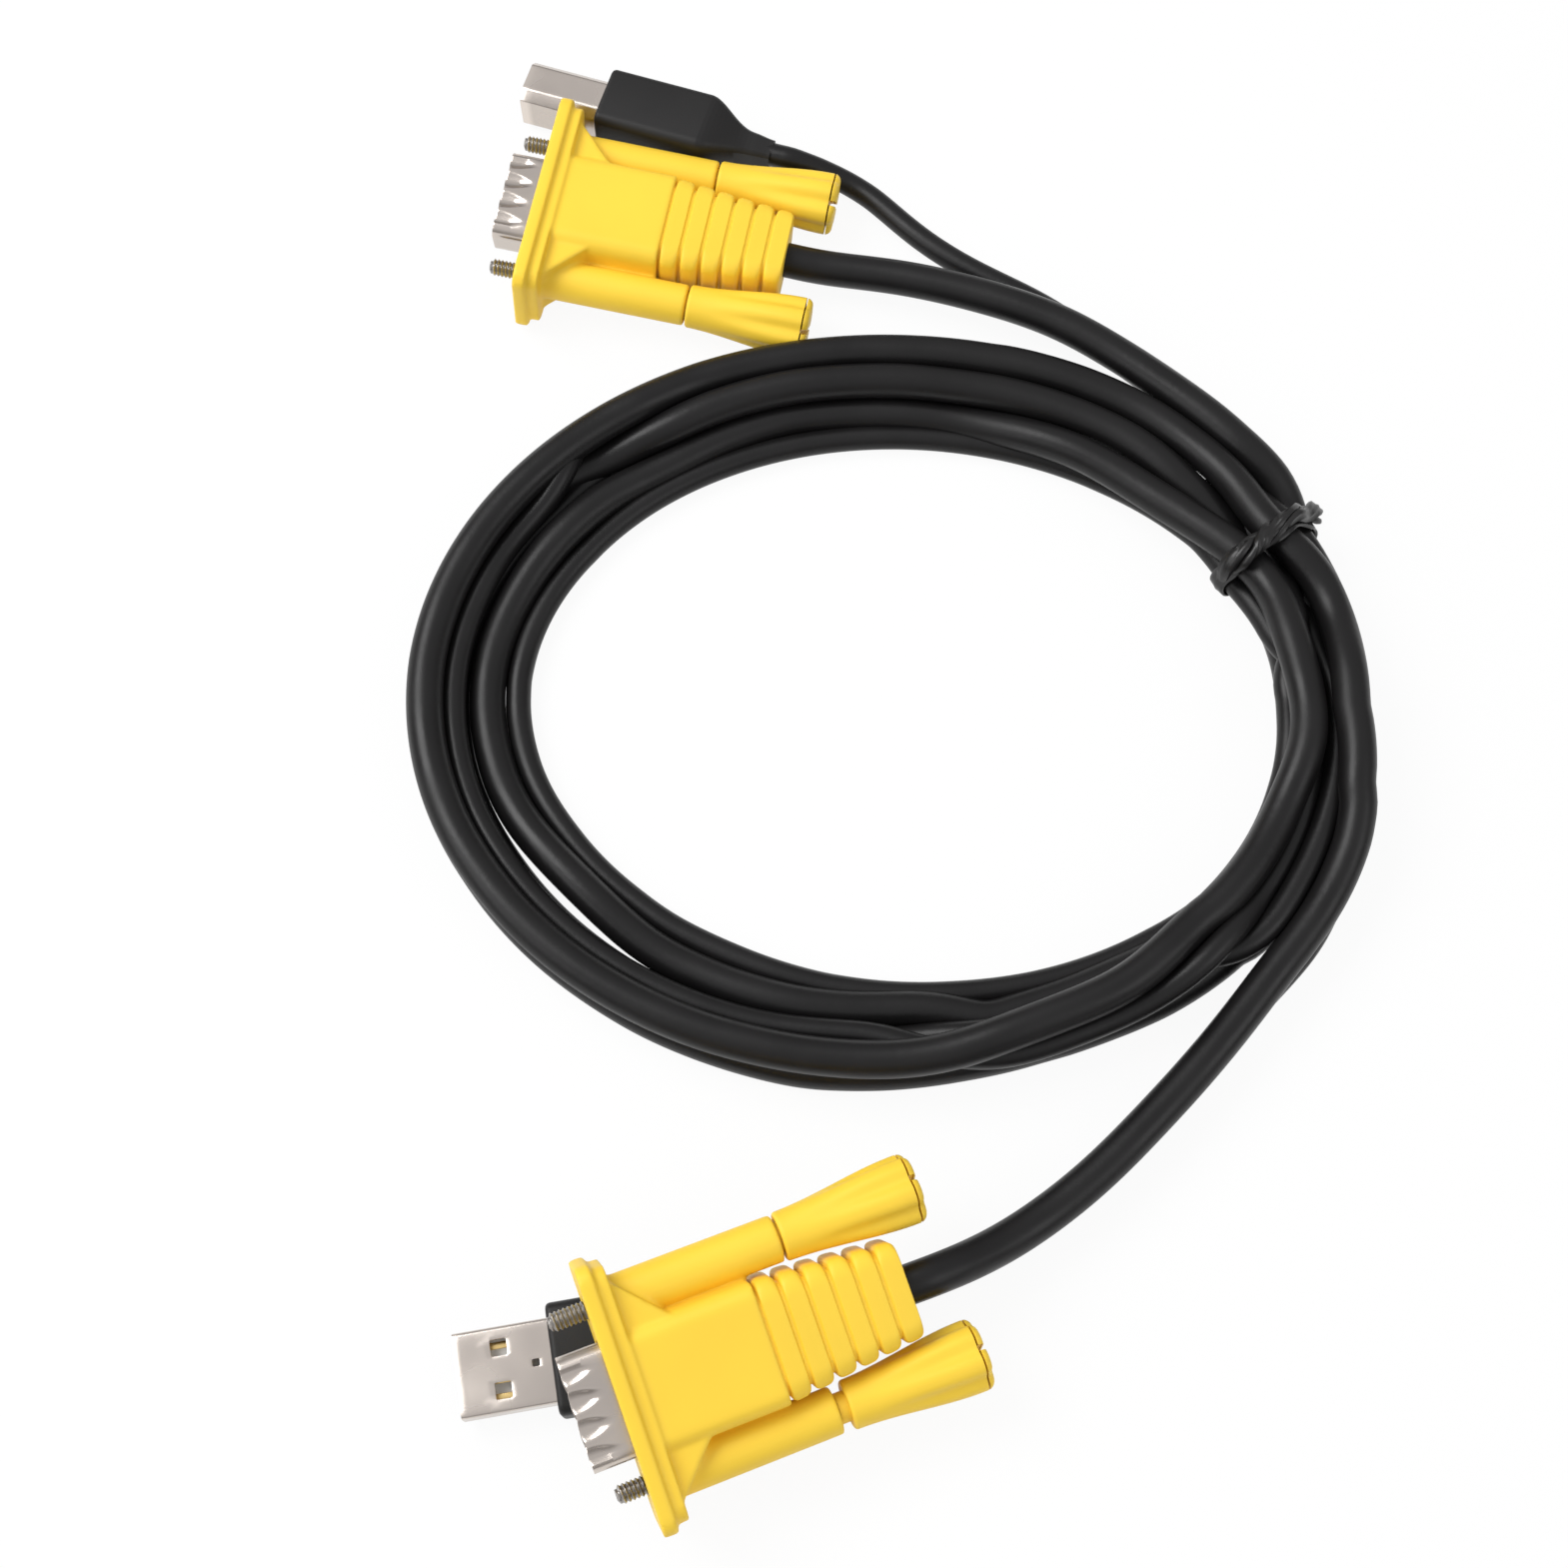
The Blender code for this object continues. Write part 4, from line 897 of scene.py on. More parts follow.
def ribbed_tail(rib_start):
    """Six close ribs that taper to the lead: flat on top with narrow grooves, and rounded at their ends."""
    # an outline of two metres square, which stands for one of -1 to 1, gives the rounded ring of each station
    bm = outline_face(box_corners(2000.0, 2000.0), 2000.0 * BODY_CORNER / BODY_HEIGHT, 8)
    ring = [vert.co / MM / 1000.0 for vert in bm.faces[:][0].verts]
    length = RIB_PITCH * RIB_COUNT
    groove = RIB_PITCH * 0.5 - GROOVE_HALF
    count = round((length + RIB_OVERLAP) / RIB_STEP)
    faces = bm.faces[:]
    bmesh.ops.translate(bm, verts=bm.verts, vec=((rib_start + RIB_OVERLAP) * MM, 0, 0))
    before = -RIB_OVERLAP
    for k in range(count + 1):
        back = -RIB_OVERLAP + (length + RIB_OVERLAP) * k / count
        if k:
            faces = push_out(bm, faces, before - back)
        before = back
        share = max(0.0, back) / length
        from_rib = RIB_PITCH / 2
        if back > FIRST_RIB:
            from_rib = abs((back - FIRST_RIB) % RIB_PITCH - RIB_PITCH / 2)
        top = RIB_TOP_DEPTH * eased_share(from_rib, RIB_SHOULDER, groove + RIB_TOP_EASE)
        round_end = math.sqrt(max(0.0, 1 - (from_rib / (groove + RIB_SIDE_EASE)) ** RIB_SIDE_POWER))
        side = RIB_SIDE_DEPTH * (1 - round_end)
        half_width = (BODY_WIDTH + (RIB_END_WIDTH - BODY_WIDTH) * share) / 2 - side
        half_height = (BODY_HEIGHT + (RIB_END_HEIGHT - BODY_HEIGHT) * share) / 2 - top
        for vert, place in zip(faces[0].verts, ring):
            vert.co.y = place.y * half_width * MM
            vert.co.z = place.z * half_height * MM
    bmesh.ops.recalc_face_normals(bm, faces=bm.faces)
    return bm


def box_corners(width, height):
    """The corners of a rectangle across the plug."""
    y, z = width / 2, height / 2
    return [(y, z), (-y, z), (-y, -z), (y, -z)]


def hood_shape():
    """The whole hood in its plug's frame."""
    bm = bmesh.new()
    slab = add_block(bm, 0, -FLANGE_FRONT_THICK, FLANGE_WIDTH, FLANGE_HEIGHT)
    round_shape(bm, slab, FLANGE_CORNER, 5, edges_along=(1, 0, 0))
    flange_back = -FLANGE_FRONT_THICK - FLANGE_BACK_THICK
    step = add_block(bm, -1, flange_back, FLANGE_WIDTH - 2 * FLANGE_STEP, FLANGE_HEIGHT - 2 * FLANGE_STEP)
    round_shape(bm, step, FLANGE_CORNER, 5, edges_along=(1, 0, 0))
    add_block(bm, flange_back + 1, flange_back - GUSSET_LENGTH, FLANGE_WIDTH - 2 * GUSSET_INSET, GUSSET_HEIGHT,
              BODY_WIDTH - BODY_CORNER)
    add_screw_rods(bm, -1, -SLEEVE_LENGTH, SLEEVE_RADIUS)
    rib_start = -(HOOD_LENGTH - RIB_PITCH * RIB_COUNT)
    body = add_block(bm, -FLANGE_FRONT_THICK, rib_start - BODY_EXTRA, BODY_WIDTH + BODY_EXTRA,
                     BODY_HEIGHT + BODY_EXTRA)
    round_shape(bm, body, BODY_CORNER, 6, edges_along=(1, 0, 0))
    bmesh.ops.recalc_face_normals(bm, faces=bm.faces)
    bores = bmesh.new()
    add_screw_rods(bores, 2, -SLEEVE_LENGTH - 2, SCREW_RADIUS + FIT)
    seats = bmesh.new()
    add_screw_rods(seats, KNOB_COLLAR + FIT - SLEEVE_LENGTH, -SLEEVE_LENGTH - 2, KNOB_COLLAR_RADIUS + FIT)
    pocket = prism(d_corners(FIT), D_CORNER, 2, -D_SEAT - FIT)
    bm = with_modifiers(bm, ("REMESH", {"mode": "VOXEL", "voxel_size": VOXEL * MM}),
                        ("SMOOTH", {"factor": 0.5, "iterations": HOOD_SMOOTHING}))
    join_ribs = ("BOOLEAN", {"operation": "UNION", "solver": "EXACT"}, ribbed_tail(rib_start))
    return with_modifiers(bm, join_ribs, cut(bores), cut(seats), cut(pocket))


def yellow_finish():
    """Soft yellow PVC: satin from the mould's fine texture, with a slow drift of shade."""
    finish, tree, tone = new_finish("yellow_pvc", 0.0004, 0.5, (0.44, 0.56), 0.00008, 0.35,
                                    {"Specular IOR Level": 0.4})
    paint_with(tree, drifting_colour(tree, tone, YELLOW, 0.95, 1.04))
    return finish


def add_copy(shape, place, name, finish, node, smooth_deg, body="cable"):
    """Put a copy of a shape in its place as a named piece."""
    copy = shape.copy()
    bmesh.ops.transform(copy, matrix=place, verts=copy.verts)
    add_piece(name, copy, finish, [node], body=body, smooth_deg=smooth_deg)


YELLOW_PVC = yellow_finish()
hood = hood_shape()
for tag, plug in VIDEO_FRAMES.items():
    add_copy(hood, plug, f"video_hood_{tag}", YELLOW_PVC, f"vga_{tag}_hood", 42)
hood.free()

# The thumbscrews: a steel jackscrew with a rolled thread, free to turn in its sleeve, and a yellow grip moulded
# on its end. The grip starts round and flares to six lobes, with a blade slot across its end.
SCREW_NECK_RADIUS = 1.15
SCREW_REACH = 5.4
THREAD_LENGTH = 7.6
THREAD_PITCH = 0.64
THREAD_DEPTH = 0.30
THREAD_RUNOUT = 0.4
TIP_LENGTH = 0.6
TIP_DEPTH = 0.5
SCREW_SEGMENTS = 32
SCREW_IN_KNOB = 11.0
KNOB_LENGTH = 20.6
KNOB_FRONT_RADIUS = SLEEVE_RADIUS + 0.15
KNOB_END_RADIUS = 5.15
KNOB_FRONT_ROUND = 0.5
KNOB_END_ROUND = 1.2
KNOB_END_INSET = 0.6
KNOB_FLUTES = 6
KNOB_FLUTE_DEPTH = 0.75
KNOB_FLUTE_POWER = 1.8
KNOB_SLOT_WIDTH = 0.8
KNOB_SLOT_DEPTH = 1.2
KNOB_SLOT_CORNER = 0.3
KNOB_CLEARANCE = 0.3
KNOB_SEGMENTS = 96
# Between which shares of its length the grip flares, and between which the flutes deepen
KNOB_FLARE = (0.02, 0.92)
KNOB_DEEPENING = (0.12, 0.8)
# How far each grip is turned from having its slot upright, and how far a loose screw has slid back
KNOB_TURN_DEG = {("a", "far"): 24, ("a", "near"): 21, ("b", "far"): -31, ("b", "near"): -38}
LOOSE_DRAW = {("a", "near"): 1.2}
STEEL = (0.60, 0.57, 0.54, 1.0)


def knob_radius(back, angle):
    """The grip's radius at a distance behind its front end: flared, fluted and rounded at both ends."""
    share = back / KNOB_LENGTH
    flare = KNOB_FRONT_RADIUS + (KNOB_END_RADIUS - SLEEVE_RADIUS - 0.15) * eased_share(share, *KNOB_FLARE)
    flute = KNOB_FLUTE_DEPTH * eased_share(share, *KNOB_DEEPENING)
    valley = (0.5 - 0.5 * math.cos(KNOB_FLUTES * angle)) ** KNOB_FLUTE_POWER
    from_front = min(1.0, back / KNOB_FRONT_ROUND)
    from_end = min(1.0, (KNOB_LENGTH - back) / KNOB_END_ROUND)
    front_round = KNOB_FRONT_ROUND * (1 - math.sqrt(max(0.0, 1 - (1 - from_front) ** 2)))
    end_round = KNOB_END_ROUND * (1 - math.sqrt(max(0.0, 1 - (1 - from_end) ** 2)))
    return flare - flute * valley - front_round - end_round


def turned_bar(stations, segments, radius_at):
    """A bar back along -X, with a ring at each station: the bar and the face at its back end."""
    bm = bmesh.new()
    bmesh.ops.create_circle(bm, cap_ends=True, segments=segments, radius=1.0,
                            matrix=Matrix.Rotation(math.radians(90), 4, "Y"))
    bmesh.ops.translate(bm, verts=bm.verts, vec=(-stations[0] * MM, 0, 0))
    faces = bm.faces[:]
    for i, back in enumerate(stations):
        if i:
            faces = push_out(bm, faces, stations[i - 1] - back)
        for vert in faces[0].verts:
            angle = math.atan2(vert.co.z, vert.co.y)
            radius = radius_at(i, back, angle) * MM
            vert.co.y = radius * math.cos(angle)
            vert.co.z = radius * math.sin(angle)
    return bm, faces


def knob_shape():
    """The grip in its screw's frame, back along -X from its front end at 0, with a collar ahead of it."""
    between_rounds = KNOB_LENGTH - (KNOB_FRONT_ROUND + KNOB_END_ROUND)
    collar = [-KNOB_COLLAR, 0.0]
    rounded = [KNOB_FRONT_ROUND * (1 - math.cos(math.pi / 2 * k / 4)) for k in range(5)]
    straight = [KNOB_FRONT_ROUND + between_rounds * k / 36 for k in range(1, 37)]
    ended = [KNOB_LENGTH - KNOB_END_ROUND + KNOB_END_ROUND * math.sin(math.pi / 2 * k / 7) for k in range(1, 8)]

    def radius_at(i, back, angle):
        return KNOB_COLLAR_RADIUS if i < len(collar) else knob_radius(back, angle)

    bm, ends = turned_bar(collar + rounded + straight + ended, KNOB_SEGMENTS, radius_at)
    bmesh.ops.inset_region(bm, faces=ends, thickness=KNOB_END_INSET * MM, use_even_offset=True)
    bmesh.ops.recalc_face_normals(bm, faces=bm.faces)
    if bm.calc_volume(signed=True) < 0:
        bmesh.ops.reverse_faces(bm, faces=bm.faces)
    bore = bmesh.new()
    add_rod(bore, 2 + KNOB_COLLAR, -SCREW_IN_KNOB - FIT, SCREW_NECK_RADIUS + FIT)
    slot = bmesh.new()
    slot_block = add_block(slot, -KNOB_LENGTH + KNOB_SLOT_DEPTH, -KNOB_LENGTH - KNOB_SLOT_DEPTH,
                           KNOB_SLOT_WIDTH, 3 * KNOB_END_RADIUS)
    round_shape(slot, slot_block, KNOB_SLOT_CORNER, 3, edges_along=(0, 0, 1))
    return with_modifiers(bm, cut(bore), cut(slot))


def screw_radius(_, back, angle):
    """The screw's radius at a distance behind its tip: a rolled thread, then a plain neck."""
    if back > THREAD_LENGTH:
        return SCREW_NECK_RADIUS
    phase = (back / THREAD_PITCH + angle / (2 * math.pi)) % 1.0
    ridge = THREAD_DEPTH * abs(2 * phase - 1)
    return SCREW_RADIUS - ridge - TIP_DEPTH * max(0.0, 1 - back / TIP_LENGTH)


def screw_shape():
    """The jackscrew in its own frame, from its tip at 0 back along -X."""
    length = SCREW_REACH + SLEEVE_LENGTH + SCREW_IN_KNOB
    steps = round(THREAD_LENGTH / THREAD_PITCH * 8)
    threaded = [THREAD_LENGTH * k / steps for k in range(steps + 1)]
    bm, _ = turned_bar(threaded + [THREAD_LENGTH + THREAD_RUNOUT, length], SCREW_SEGMENTS, screw_radius)
    bmesh.ops.recalc_face_normals(bm, faces=bm.faces)
    return bm


def steel_finish():
    """Plated steel: bright crests on the thread and darker roots."""
    finish, tree, _ = new_finish("screw_steel", 0.0003, 0.6, (0.26, 0.42), 0.00003, 0.4, {"Metallic": 1.0})
    crests = use_group(tree, EDGE_WEAR).outputs["Edge"]
    paint_with(tree, blend_colours(tree, crests, lighter(STEEL, 0.55), lighter(STEEL, 1.25)))
    return finish


SCREW_STEEL = steel_finish()
knob = knob_shape()
screw = screw_shape()
for tag, plug in VIDEO_FRAMES.items():
    for side, sign in (("far", -1), ("near", 1)):
        draw = LOOSE_DRAW.get((tag, side), 0.0)
        across = sign * SCREW_SPACING / 2
        for shape, kind, front, finish, slot in (
            (knob, "knob", -SLEEVE_LENGTH - KNOB_CLEARANCE - draw, YELLOW_PVC, "yellow_pvc"),
            (screw, "screw", SCREW_REACH - draw, SCREW_STEEL, "screw_steel"),
        ):
            turn = Matrix.Rotation(math.radians(KNOB_TURN_DEG[tag, side]), 4, "X")
            place = plug @ Matrix.Translation((front * MM, across * MM, 0)) @ turn
            add_copy(shape, place, f"{kind}_{tag}_{side}", finish, f"vga_{tag}_{side}_{kind}", 42,
                     f"thumbscrew_{tag}_{side}")
knob.free()
screw.free()

# The D-shaped shell: nickel-plated steel drawn in one piece, with four grounding dents pressed into its wide
# side and three into the narrow one. In it is the black pin block with three staggered rows of five gold pins.
D_REACH = 6.0
D_WALL = 0.45
DENT_PITCH = 3.9
DENT_HALF_WIDTH = 1.55
DENT_DEPTH = 0.55
DENT_LENGTH = 5.2
DENT_FULL_BACK = 0.6
EDGE_WAVE = 0.22
EDGE_WAVE_BACK = 0.8
EDGE_EASE = 0.09
LONG_EDGE = 2.0
BLOCK_GAP = 0.1
BLOCK_RIM = 0.3
PIN_NOSE = 0.28
PIN_RADIUS = 0.42
PIN_REACH = 4.9
PIN_PITCH = 2.29
PIN_ROW_PITCH = 1.98
PINS_PER_ROW = 5
PIN_ROWS = 3
NICKEL = (0.60, 0.54, 0.49, 1.0)
GOLD = (0.83, 0.61, 0.26, 1.0)
BLACK = (0.010, 0.0095, 0.0095, 1.0)


def open_tube(corners, corner, front, back, steps, cuts):
    """The skin of a drawn shell: an outline pushed along the plug in steps, open at both ends."""
    bm = outline_face(corners, corner)
    long_edges = [e for e in bm.edges if e.calc_length() > LONG_EDGE * MM]
    bmesh.ops.subdivide_edges(bm, edges=long_edges, cuts=cuts)
    bmesh.ops.delete(bm, geom=bm.faces[:], context="FACES_ONLY")
    bmesh.ops.translate(bm, verts=bm.verts, vec=(back * MM, 0, 0))
    edges = bm.edges[:]
    for _ in range(steps):
        made = bmesh.ops.extrude_edge_only(bm, edges=edges)["geom"]
        edges = [g for g in made if isinstance(g, bmesh.types.BMEdge)]
        verts = [g for g in made if isinstance(g, bmesh.types.BMVert)]
        bmesh.ops.translate(bm, verts=verts, vec=((front - back) / steps * MM, 0, 0))
    bmesh.ops.recalc_face_normals(bm, faces=bm.faces)
    return bm


def ease(width):
    """The step that eases a shape's sharp edges."""
    return "BEVEL", {"width": width * MM, "segments": 2, "limit_method": "ANGLE",
                     "angle_limit": math.radians(50)}


def shell_wall(bm, wall, *cutters):
    """Give a shell its wall, cut its windows and ease its edges."""
    thicken = ("SOLIDIFY", {"thickness": wall * MM, "offset": -1.0, "use_even_offset": True})
    return with_modifiers(bm, thicken, *[cut(cutter) for cutter in cutters], ease(EDGE_EASE))


def press_dents(bm):
    """Press the dents into both long sides: each widens and deepens towards the front edge."""
    for vert in bm.verts:
        x, y, z = vert.co / MM
        if abs(z) < D_HEIGHT / 2 - 0.05:
            continue
        count = 4 if z > 0 else 3
        offset = y / DENT_PITCH + (count - 1) / 2
        nearest = min(count - 1, max(0, round(offset)))
        away = abs(offset - nearest) * DENT_PITCH
        along = eased_share(x, D_REACH - DENT_LENGTH, D_REACH - DENT_FULL_BACK)
        half = DENT_HALF_WIDTH * (0.35 + 0.65 * along)
        press = max(0.0, 1 - (away / half) ** 2) * min(1.0, along * 1.6)
        vert.co.z -= math.copysign(DENT_DEPTH * press, z) * MM
        if x > D_REACH - EDGE_WAVE_BACK:
            vert.co.x += EDGE_WAVE * (press - 0.6) * MM


def paint_with_bright_edges(tree, wear, drift, edge_colour):
    """The drifting colour, and a brighter one along the edges."""
    tone = add_node(tree, "ShaderNodeMix", data_type="RGBA")
    tone.inputs["B"].default_value = edge_colour
    tree.links.new(wear.outputs["Edge"], tone.inputs["Factor"])
    tree.links.new(drift, tone.inputs["A"])
    paint_with(tree, tone.outputs["Result"])


def metal_finish(name, colour, roughness):
    """Plated sheet: warm, satin, with a fine grain and brighter edges."""
    finish, tree, tone = new_finish(name, 0.0002, 0.5, roughness, 0.00002, 0.35, {"Metallic": 1.0})
    drift = drifting_colour(tree, tone, colour, 0.92, 1.06)
    paint_with_bright_edges(tree, use_group(tree, EDGE_WEAR, Start=0.5, End=0.6), drift, lighter(colour, 1.3))
    return finish


def plastic_finish(name, colour, roughness):
    """Moulded plastic with a fine satin skin and slightly polished edges."""
    finish, tree, tone = new_finish(name, 0.00035, 0.5, roughness, 0.00008, 0.45, {"Specular IOR Level": 0.34})
    drift = drifting_colour(tree, tone, colour, 0.85, 1.15)
    paint_with_bright_edges(tree, use_group(tree, EDGE_WEAR), drift, lighter(colour, 1.5))
    return finish


def pins_shape():
    """Fifteen round-nosed pins."""
    bm = bmesh.new()
    for row in range(PIN_ROWS):
        z = (row - (PIN_ROWS - 1) / 2) * PIN_ROW_PITCH
        shift = (0.5 - row % 2) * PIN_PITCH / 2
        for column in range(PINS_PER_ROW):
            y = (column - (PINS_PER_ROW - 1) / 2) * PIN_PITCH + shift
            verts = add_rod(bm, PIN_REACH, -1.0, PIN_RADIUS, y, segments=16)
            bmesh.ops.translate(bm, verts=verts, vec=(0, 0, z * MM))
            tip = [e for v in verts for e in v.link_edges
                   if min(p.co.x for p in e.verts) > (PIN_REACH - 0.01) * MM]
            round_edges(bm, set(tip), PIN_NOSE, 3)
    return bm


def block_shape():
    """The black block that carries the pins, with an eased front rim."""
    bm = prism(d_corners(-D_WALL - BLOCK_GAP), D_CORNER - 0.5, 0.0, -D_SEAT)
    rims = [e for e in bm.edges if min(v.co.x for v in e.verts) > -0.01 * MM]
    round_edges(bm, rims, BLOCK_RIM, 2)
    return bm


NICKEL_PLATE = metal_finish("nickel_shell", NICKEL, (0.20, 0.32))
GOLD_PLATE = metal_finish("gold_contact", GOLD, (0.22, 0.34))
BLACK_MOULDING = plastic_finish("black_moulding", BLACK, (0.42, 0.56))
skin = open_tube(d_corners(0), D_CORNER, D_REACH, -D_SEAT, 30, 63)
press_dents(skin)
d_shell = shell_wall(skin, D_WALL)
pins = pins_shape()
pin_block = block_shape()
for tag, plug in VIDEO_FRAMES.items():
    for shape, kind, finish, slot, node in (
        (d_shell, "d_shell", NICKEL_PLATE, "nickel_shell", f"vga_{tag}_d_shell"),
        (pin_block, "pin_block", BLACK_MOULDING, "black_moulding", f"vga_{tag}_pin_block"),
        (pins, "pins", GOLD_PLATE, "gold_contact", f"vga_{tag}_pin_block"),
    ):
        add_copy(shape, plug, f"video_{kind}_{tag}", finish, node, 50)
d_shell.free()
pins.free()
pin_block.free()

# The USB-A plug: a folded nickel shell with two windows on each broad side, a white contact carrier on its
# floor with four gold contacts, and a black grip moulded over its back that narrows to the lead.
USB_A_WIDTH = 12.0
USB_A_HEIGHT = 4.5
USB_A_GRIP_WIDTH = 16.0
USB_A_GRIP_HEIGHT = 7.4
USB_A_WINDOW = 2.4
USB_A_WINDOW_SPREAD = 6.0
USB_A_WINDOW_BACK = 6.4
USB_A_DIMPLE = 1.1
USB_A_DIMPLE_BACK = 11.4
USB_A_TONGUE_HEIGHT = 1.6
WINDOW_CORNER = 0.25
USB_WALL = 0.35
USB_SEAT = 3.0
USB_CORNER = 0.6
USB_GAP = 0.1
USB_RELIEF_WALL = 0.4
USB_INSERT_BACK = 1.0
USB_CONTACT_BACK = 1.6
GRIP_CORNER = 1.6
GRIP_EDGE = 0.7
CONTACT_WIDTH = 1.0
CONTACT_THICK = 0.25
CONTACT_LENGTH = 7.6
CONTACT_PITCH = 2.4
CONTACT_COUNT = 4
TONGUE_WHITE = (0.75, 0.74, 0.70, 1.0)


def grip_shape(width, height, reach, length):
    """A moulded grip: a box that draws in along its last third to a round neck on the lead."""
    relief = USB_LEAD + 2 * USB_RELIEF_WALL
    bm = outline_face(box_corners(width, height), GRIP_CORNER, 5)
    bmesh.ops.translate(bm, verts=bm.verts, vec=(-reach * MM, 0, 0))
    count = 40
    total = length + USB_RELIEF_LENGTH
    faces = bm.faces[:]
    before = 0.0
    ring = [v.co.copy() for v in faces[0].verts]
    for k in range(1, count + 1):
        back = total * k / count
        neck = 0.86 * eased_share(back, 0.68 * length, 1.02 * length) + 0.14 * eased_share(back, length, total)
        faces = push_out(bm, faces, before - back)
        before = back
        corner_share = min(1.0, neck * 1.25)
        for vert, start in zip(faces[0].verts, ring):
            boxy_y = start.y * (1 + (relief / width - 1) * neck)
            boxy_z = start.z * (1 + (relief / height - 1) * neck)
            wide = (width + (relief - width) * neck) / 2 * MM
            high = (height + (relief - height) * neck) / 2 * MM
            angle = math.atan2(start.z / height, start.y / width)
            round_point = Vector((wide * math.cos(angle), high * math.sin(angle)))
            vert.co.y, vert.co.z = Vector((boxy_y, boxy_z)).lerp(round_point, corner_share)
    rims = [e for e in bm.edges if all(v.co.x > (-reach - 0.01) * MM for v in e.verts)]
    round_edges(bm, rims, GRIP_EDGE, 4)
    bmesh.ops.recalc_face_normals(bm, faces=bm.faces)
    return bm


def contact_strip(bm, y, z):
    """A stamped contact with eased edges."""
    strip = add_block(bm, -USB_CONTACT_BACK, -USB_CONTACT_BACK - CONTACT_LENGTH, CONTACT_WIDTH, CONTACT_THICK)
    bmesh.ops.translate(bm, verts=strip, vec=(0, y * MM, z * MM))
    round_shape(bm, strip, EDGE_EASE, 2)


def window_cutter(back, across, size):
    """What cuts a square window with rounded corners through both broad sides of the USB-A shell."""
    cutter = bmesh.new()
    verts = add_block(cutter, -back + size / 2, -back - size / 2, size, 2 * USB_A_HEIGHT)
    bmesh.ops.translate(cutter, verts=verts, vec=(0, across * MM, 0))
    round_shape(cutter, verts, WINDOW_CORNER, 3, edges_along=(0, 0, 1))
    return cutter


def place_pieces(plug, pieces):
    """Put finished shapes of one plug where it lies: name, shape, finish, slot, nodes."""
    for name, shape, finish, slot, nodes in pieces:
        bmesh.ops.transform(shape, matrix=plug, verts=shape.verts)
        add_piece(name, shape, finish, nodes, smooth_deg=28)


usb_a_skin = open_tube(box_corners(USB_A_WIDTH, USB_A_HEIGHT), USB_CORNER, 0, -USB_A_REACH - USB_SEAT, 16, 15)
usb_a_shell = shell_wall(
    usb_a_skin, USB_WALL,
    window_cutter(USB_A_WINDOW_BACK, -USB_A_WINDOW_SPREAD / 2, USB_A_WINDOW),
    window_cutter(USB_A_WINDOW_BACK, USB_A_WINDOW_SPREAD / 2, USB_A_WINDOW),
    window_cutter(USB_A_DIMPLE_BACK, 0.0, USB_A_DIMPLE),
)
grip_pocket = prism(box_corners(USB_A_WIDTH + 2 * USB_GAP, USB_A_HEIGHT + 2 * USB_GAP), USB_CORNER,
                    2 - USB_A_REACH, -USB_A_REACH - USB_SEAT - FIT)
usb_a_grip = with_modifiers(
    grip_shape(USB_A_GRIP_WIDTH, USB_A_GRIP_HEIGHT, USB_A_REACH, USB_A_GRIP_LENGTH), cut(grip_pocket))
floor_height = -USB_A_HEIGHT / 2 + USB_WALL + 0.05
tongue_length = USB_A_REACH + USB_SEAT - USB_INSERT_BACK
tongue_middle = floor_height + USB_A_TONGUE_HEIGHT / 2
usb_a_tongue = bmesh.new()
tongue_block = add_block(usb_a_tongue, -USB_INSERT_BACK, -USB_INSERT_BACK - tongue_length,
                         USB_A_WIDTH - 2 * USB_WALL - 2 * USB_GAP, USB_A_TONGUE_HEIGHT)
bmesh.ops.translate(usb_a_tongue, verts=tongue_block, vec=(0, 0, tongue_middle * MM))
round_shape(usb_a_tongue, tongue_block, 0.2, 2)
usb_a_contacts = bmesh.new()
for i in range(CONTACT_COUNT):
    contact_strip(usb_a_contacts, (i - 1.5) * CONTACT_PITCH, floor_height + USB_A_TONGUE_HEIGHT + 0.05)
WHITE_PLASTIC = plastic_finish("tongue_plastic", TONGUE_WHITE, (0.40, 0.52))
usb_a_contact_nodes = [f"usb_a_contact_{i + 1}" for i in range(CONTACT_COUNT)]
place_pieces(USB_A_FRAME, (
    ("usb_a_nickel_shell", usb_a_shell, NICKEL_PLATE, "nickel_shell", ["usb_a_shell"]),
    ("usb_a_black_grip", usb_a_grip, BLACK_MOULDING, "black_moulding", ["usb_a_grip"]),
    ("usb_a_carrier", usb_a_tongue, WHITE_PLASTIC, "tongue_plastic", ["usb_a_tongue"]),
    ("usb_a_gold_contacts", usb_a_contacts, GOLD_PLATE, "gold_contact", usb_a_contact_nodes),
))

# The USB-B plug: a square nickel shell with its two upper corners cut off, a slotted black insert with two
# contacts above and two below, and a deep black grip.
USB_B_WIDTH = 8.45
USB_B_HEIGHT = 7.78
USB_B_CHAMFER = 1.6
USB_B_CORNER = 0.35
USB_B_GRIP_WIDTH = 11.5
USB_B_GRIP_HEIGHT = 10.5
USB_B_SLOT_WIDTH = 5.7
USB_B_SLOT_HEIGHT = 3.2
USB_B_SLOT_DEPTH = 8.5


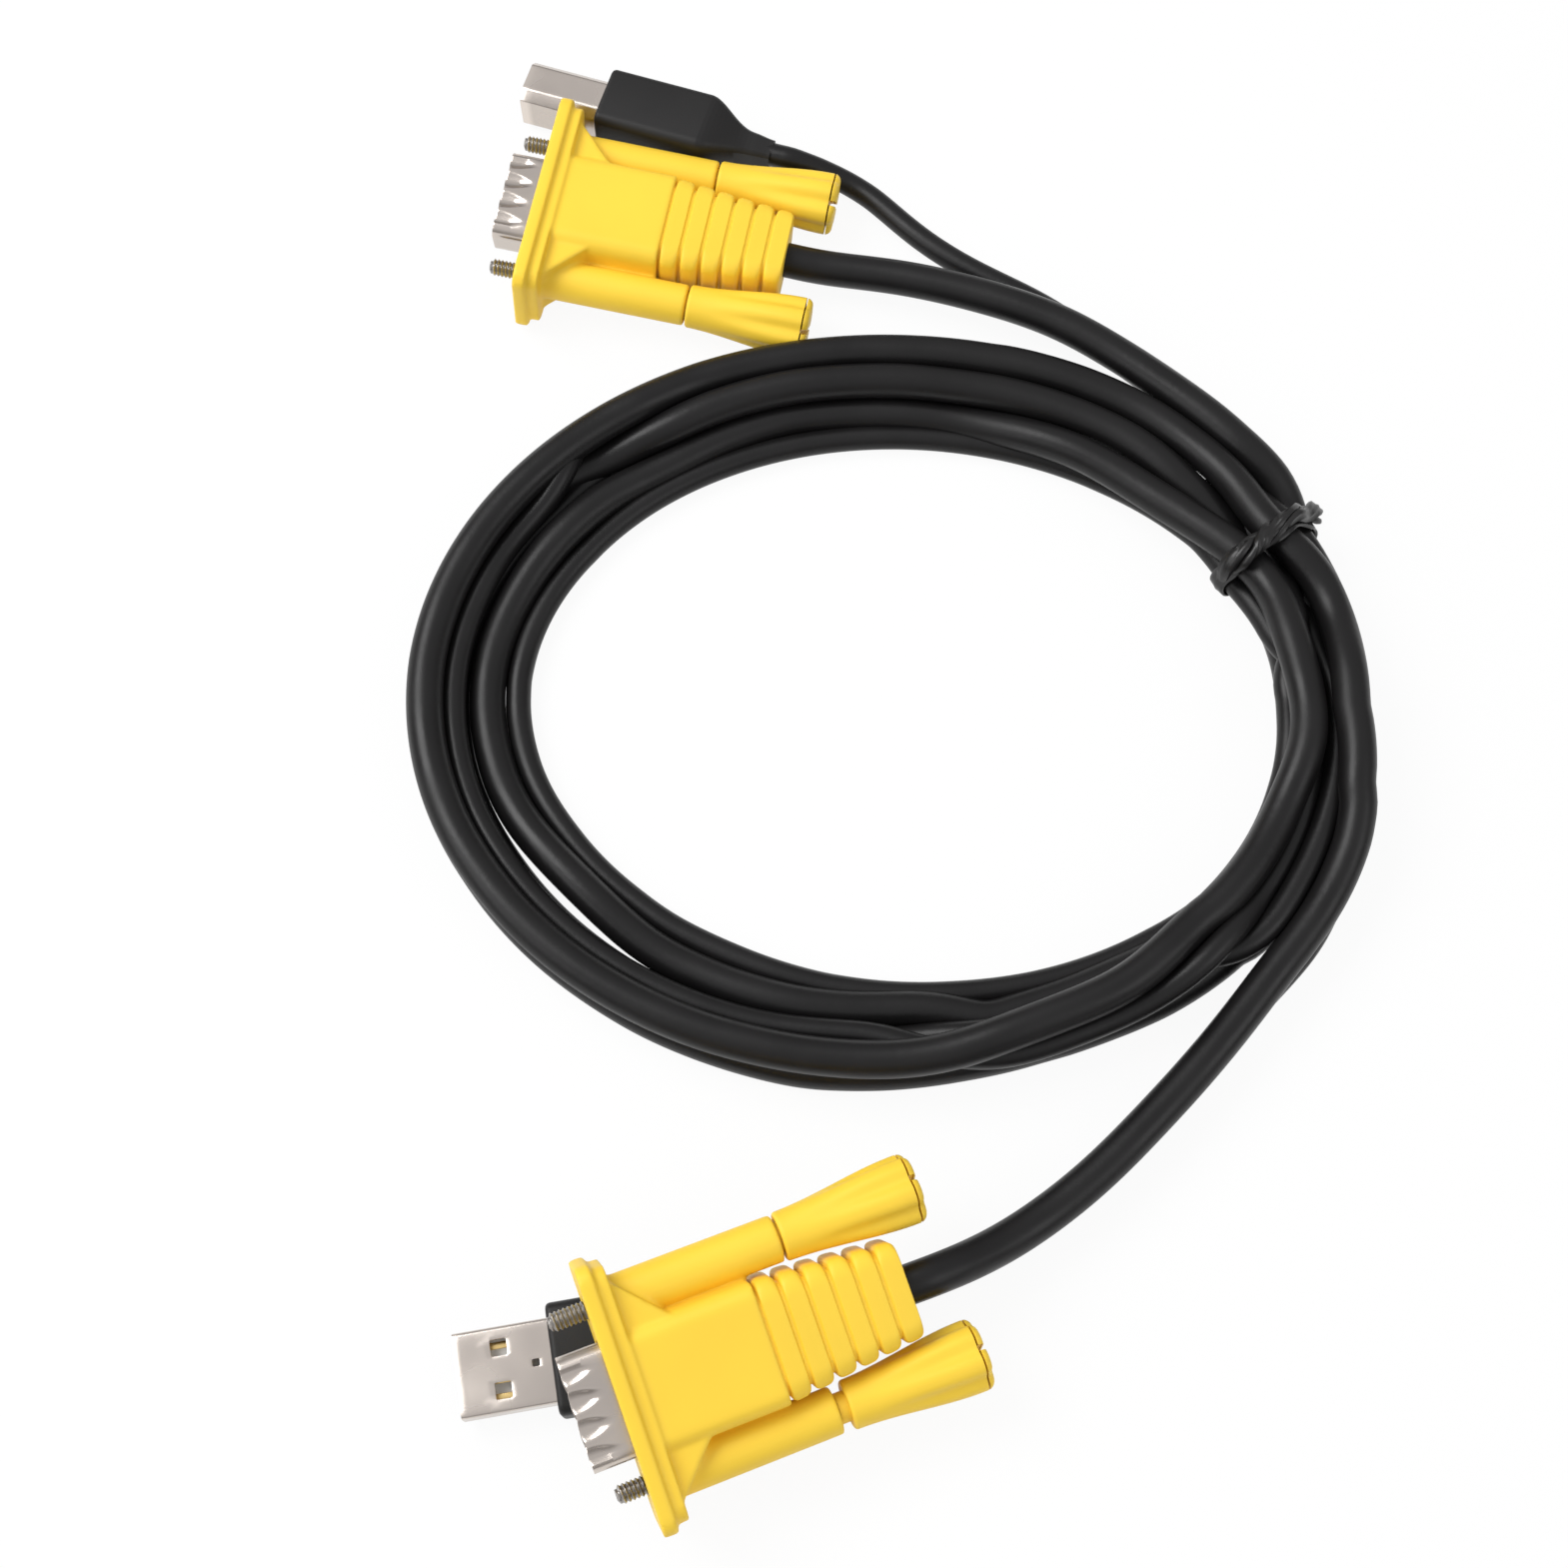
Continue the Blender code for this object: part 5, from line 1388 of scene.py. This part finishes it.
def usb_b_corners(grow):
    """The corners of the USB-B outline, grown or shrunk all round."""
    w = USB_B_WIDTH / 2 + grow
    h = USB_B_HEIGHT / 2 + grow
    c = USB_B_CHAMFER + 0.4 * grow
    return [(w, h - c), (w - c, h), (c - w, h), (-w, h - c), (-w, -h), (w, -h)]


usb_b_skin = open_tube(usb_b_corners(0), USB_B_CORNER, 0, -USB_B_REACH - USB_SEAT, 16, 11)
usb_b_shell = shell_wall(usb_b_skin, USB_WALL)
usb_b_pocket = prism(usb_b_corners(USB_GAP), USB_B_CORNER, 2 - USB_B_REACH, -USB_B_REACH - USB_SEAT - FIT)
usb_b_grip = with_modifiers(
    grip_shape(USB_B_GRIP_WIDTH, USB_B_GRIP_HEIGHT, USB_B_REACH, USB_B_GRIP_LENGTH), cut(usb_b_pocket))
slot_cutter = bmesh.new()
add_block(slot_cutter, USB_B_SLOT_DEPTH, -USB_INSERT_BACK - USB_B_SLOT_DEPTH, USB_B_SLOT_WIDTH,
          USB_B_SLOT_HEIGHT)
usb_b_insert = with_modifiers(
    prism(usb_b_corners(-USB_WALL - USB_GAP), 0.3, -USB_INSERT_BACK, -USB_B_REACH - USB_SEAT),
    cut(slot_cutter), ease(0.15))
usb_b_contacts = bmesh.new()
for i in range(CONTACT_COUNT):
    contact_height = USB_B_SLOT_HEIGHT / 2 - CONTACT_THICK / 2
    contact_strip(usb_b_contacts, (0.5 - i % 2) * CONTACT_PITCH, contact_height if i < 2 else -contact_height)
usb_b_contact_nodes = [f"usb_b_contact_{i + 1}" for i in range(CONTACT_COUNT)]
place_pieces(USB_B_FRAME, (
    ("usb_b_nickel_shell", usb_b_shell, NICKEL_PLATE, "nickel_shell", ["usb_b_shell"]),
    ("usb_b_black_grip", usb_b_grip, BLACK_MOULDING, "black_moulding", ["usb_b_grip"]),
    ("usb_b_slotted_insert", usb_b_insert, BLACK_MOULDING, "black_moulding", ["usb_b_insert"]),
    ("usb_b_gold_contacts", usb_b_contacts, GOLD_PLATE, "gold_contact", usb_b_contact_nodes),
))
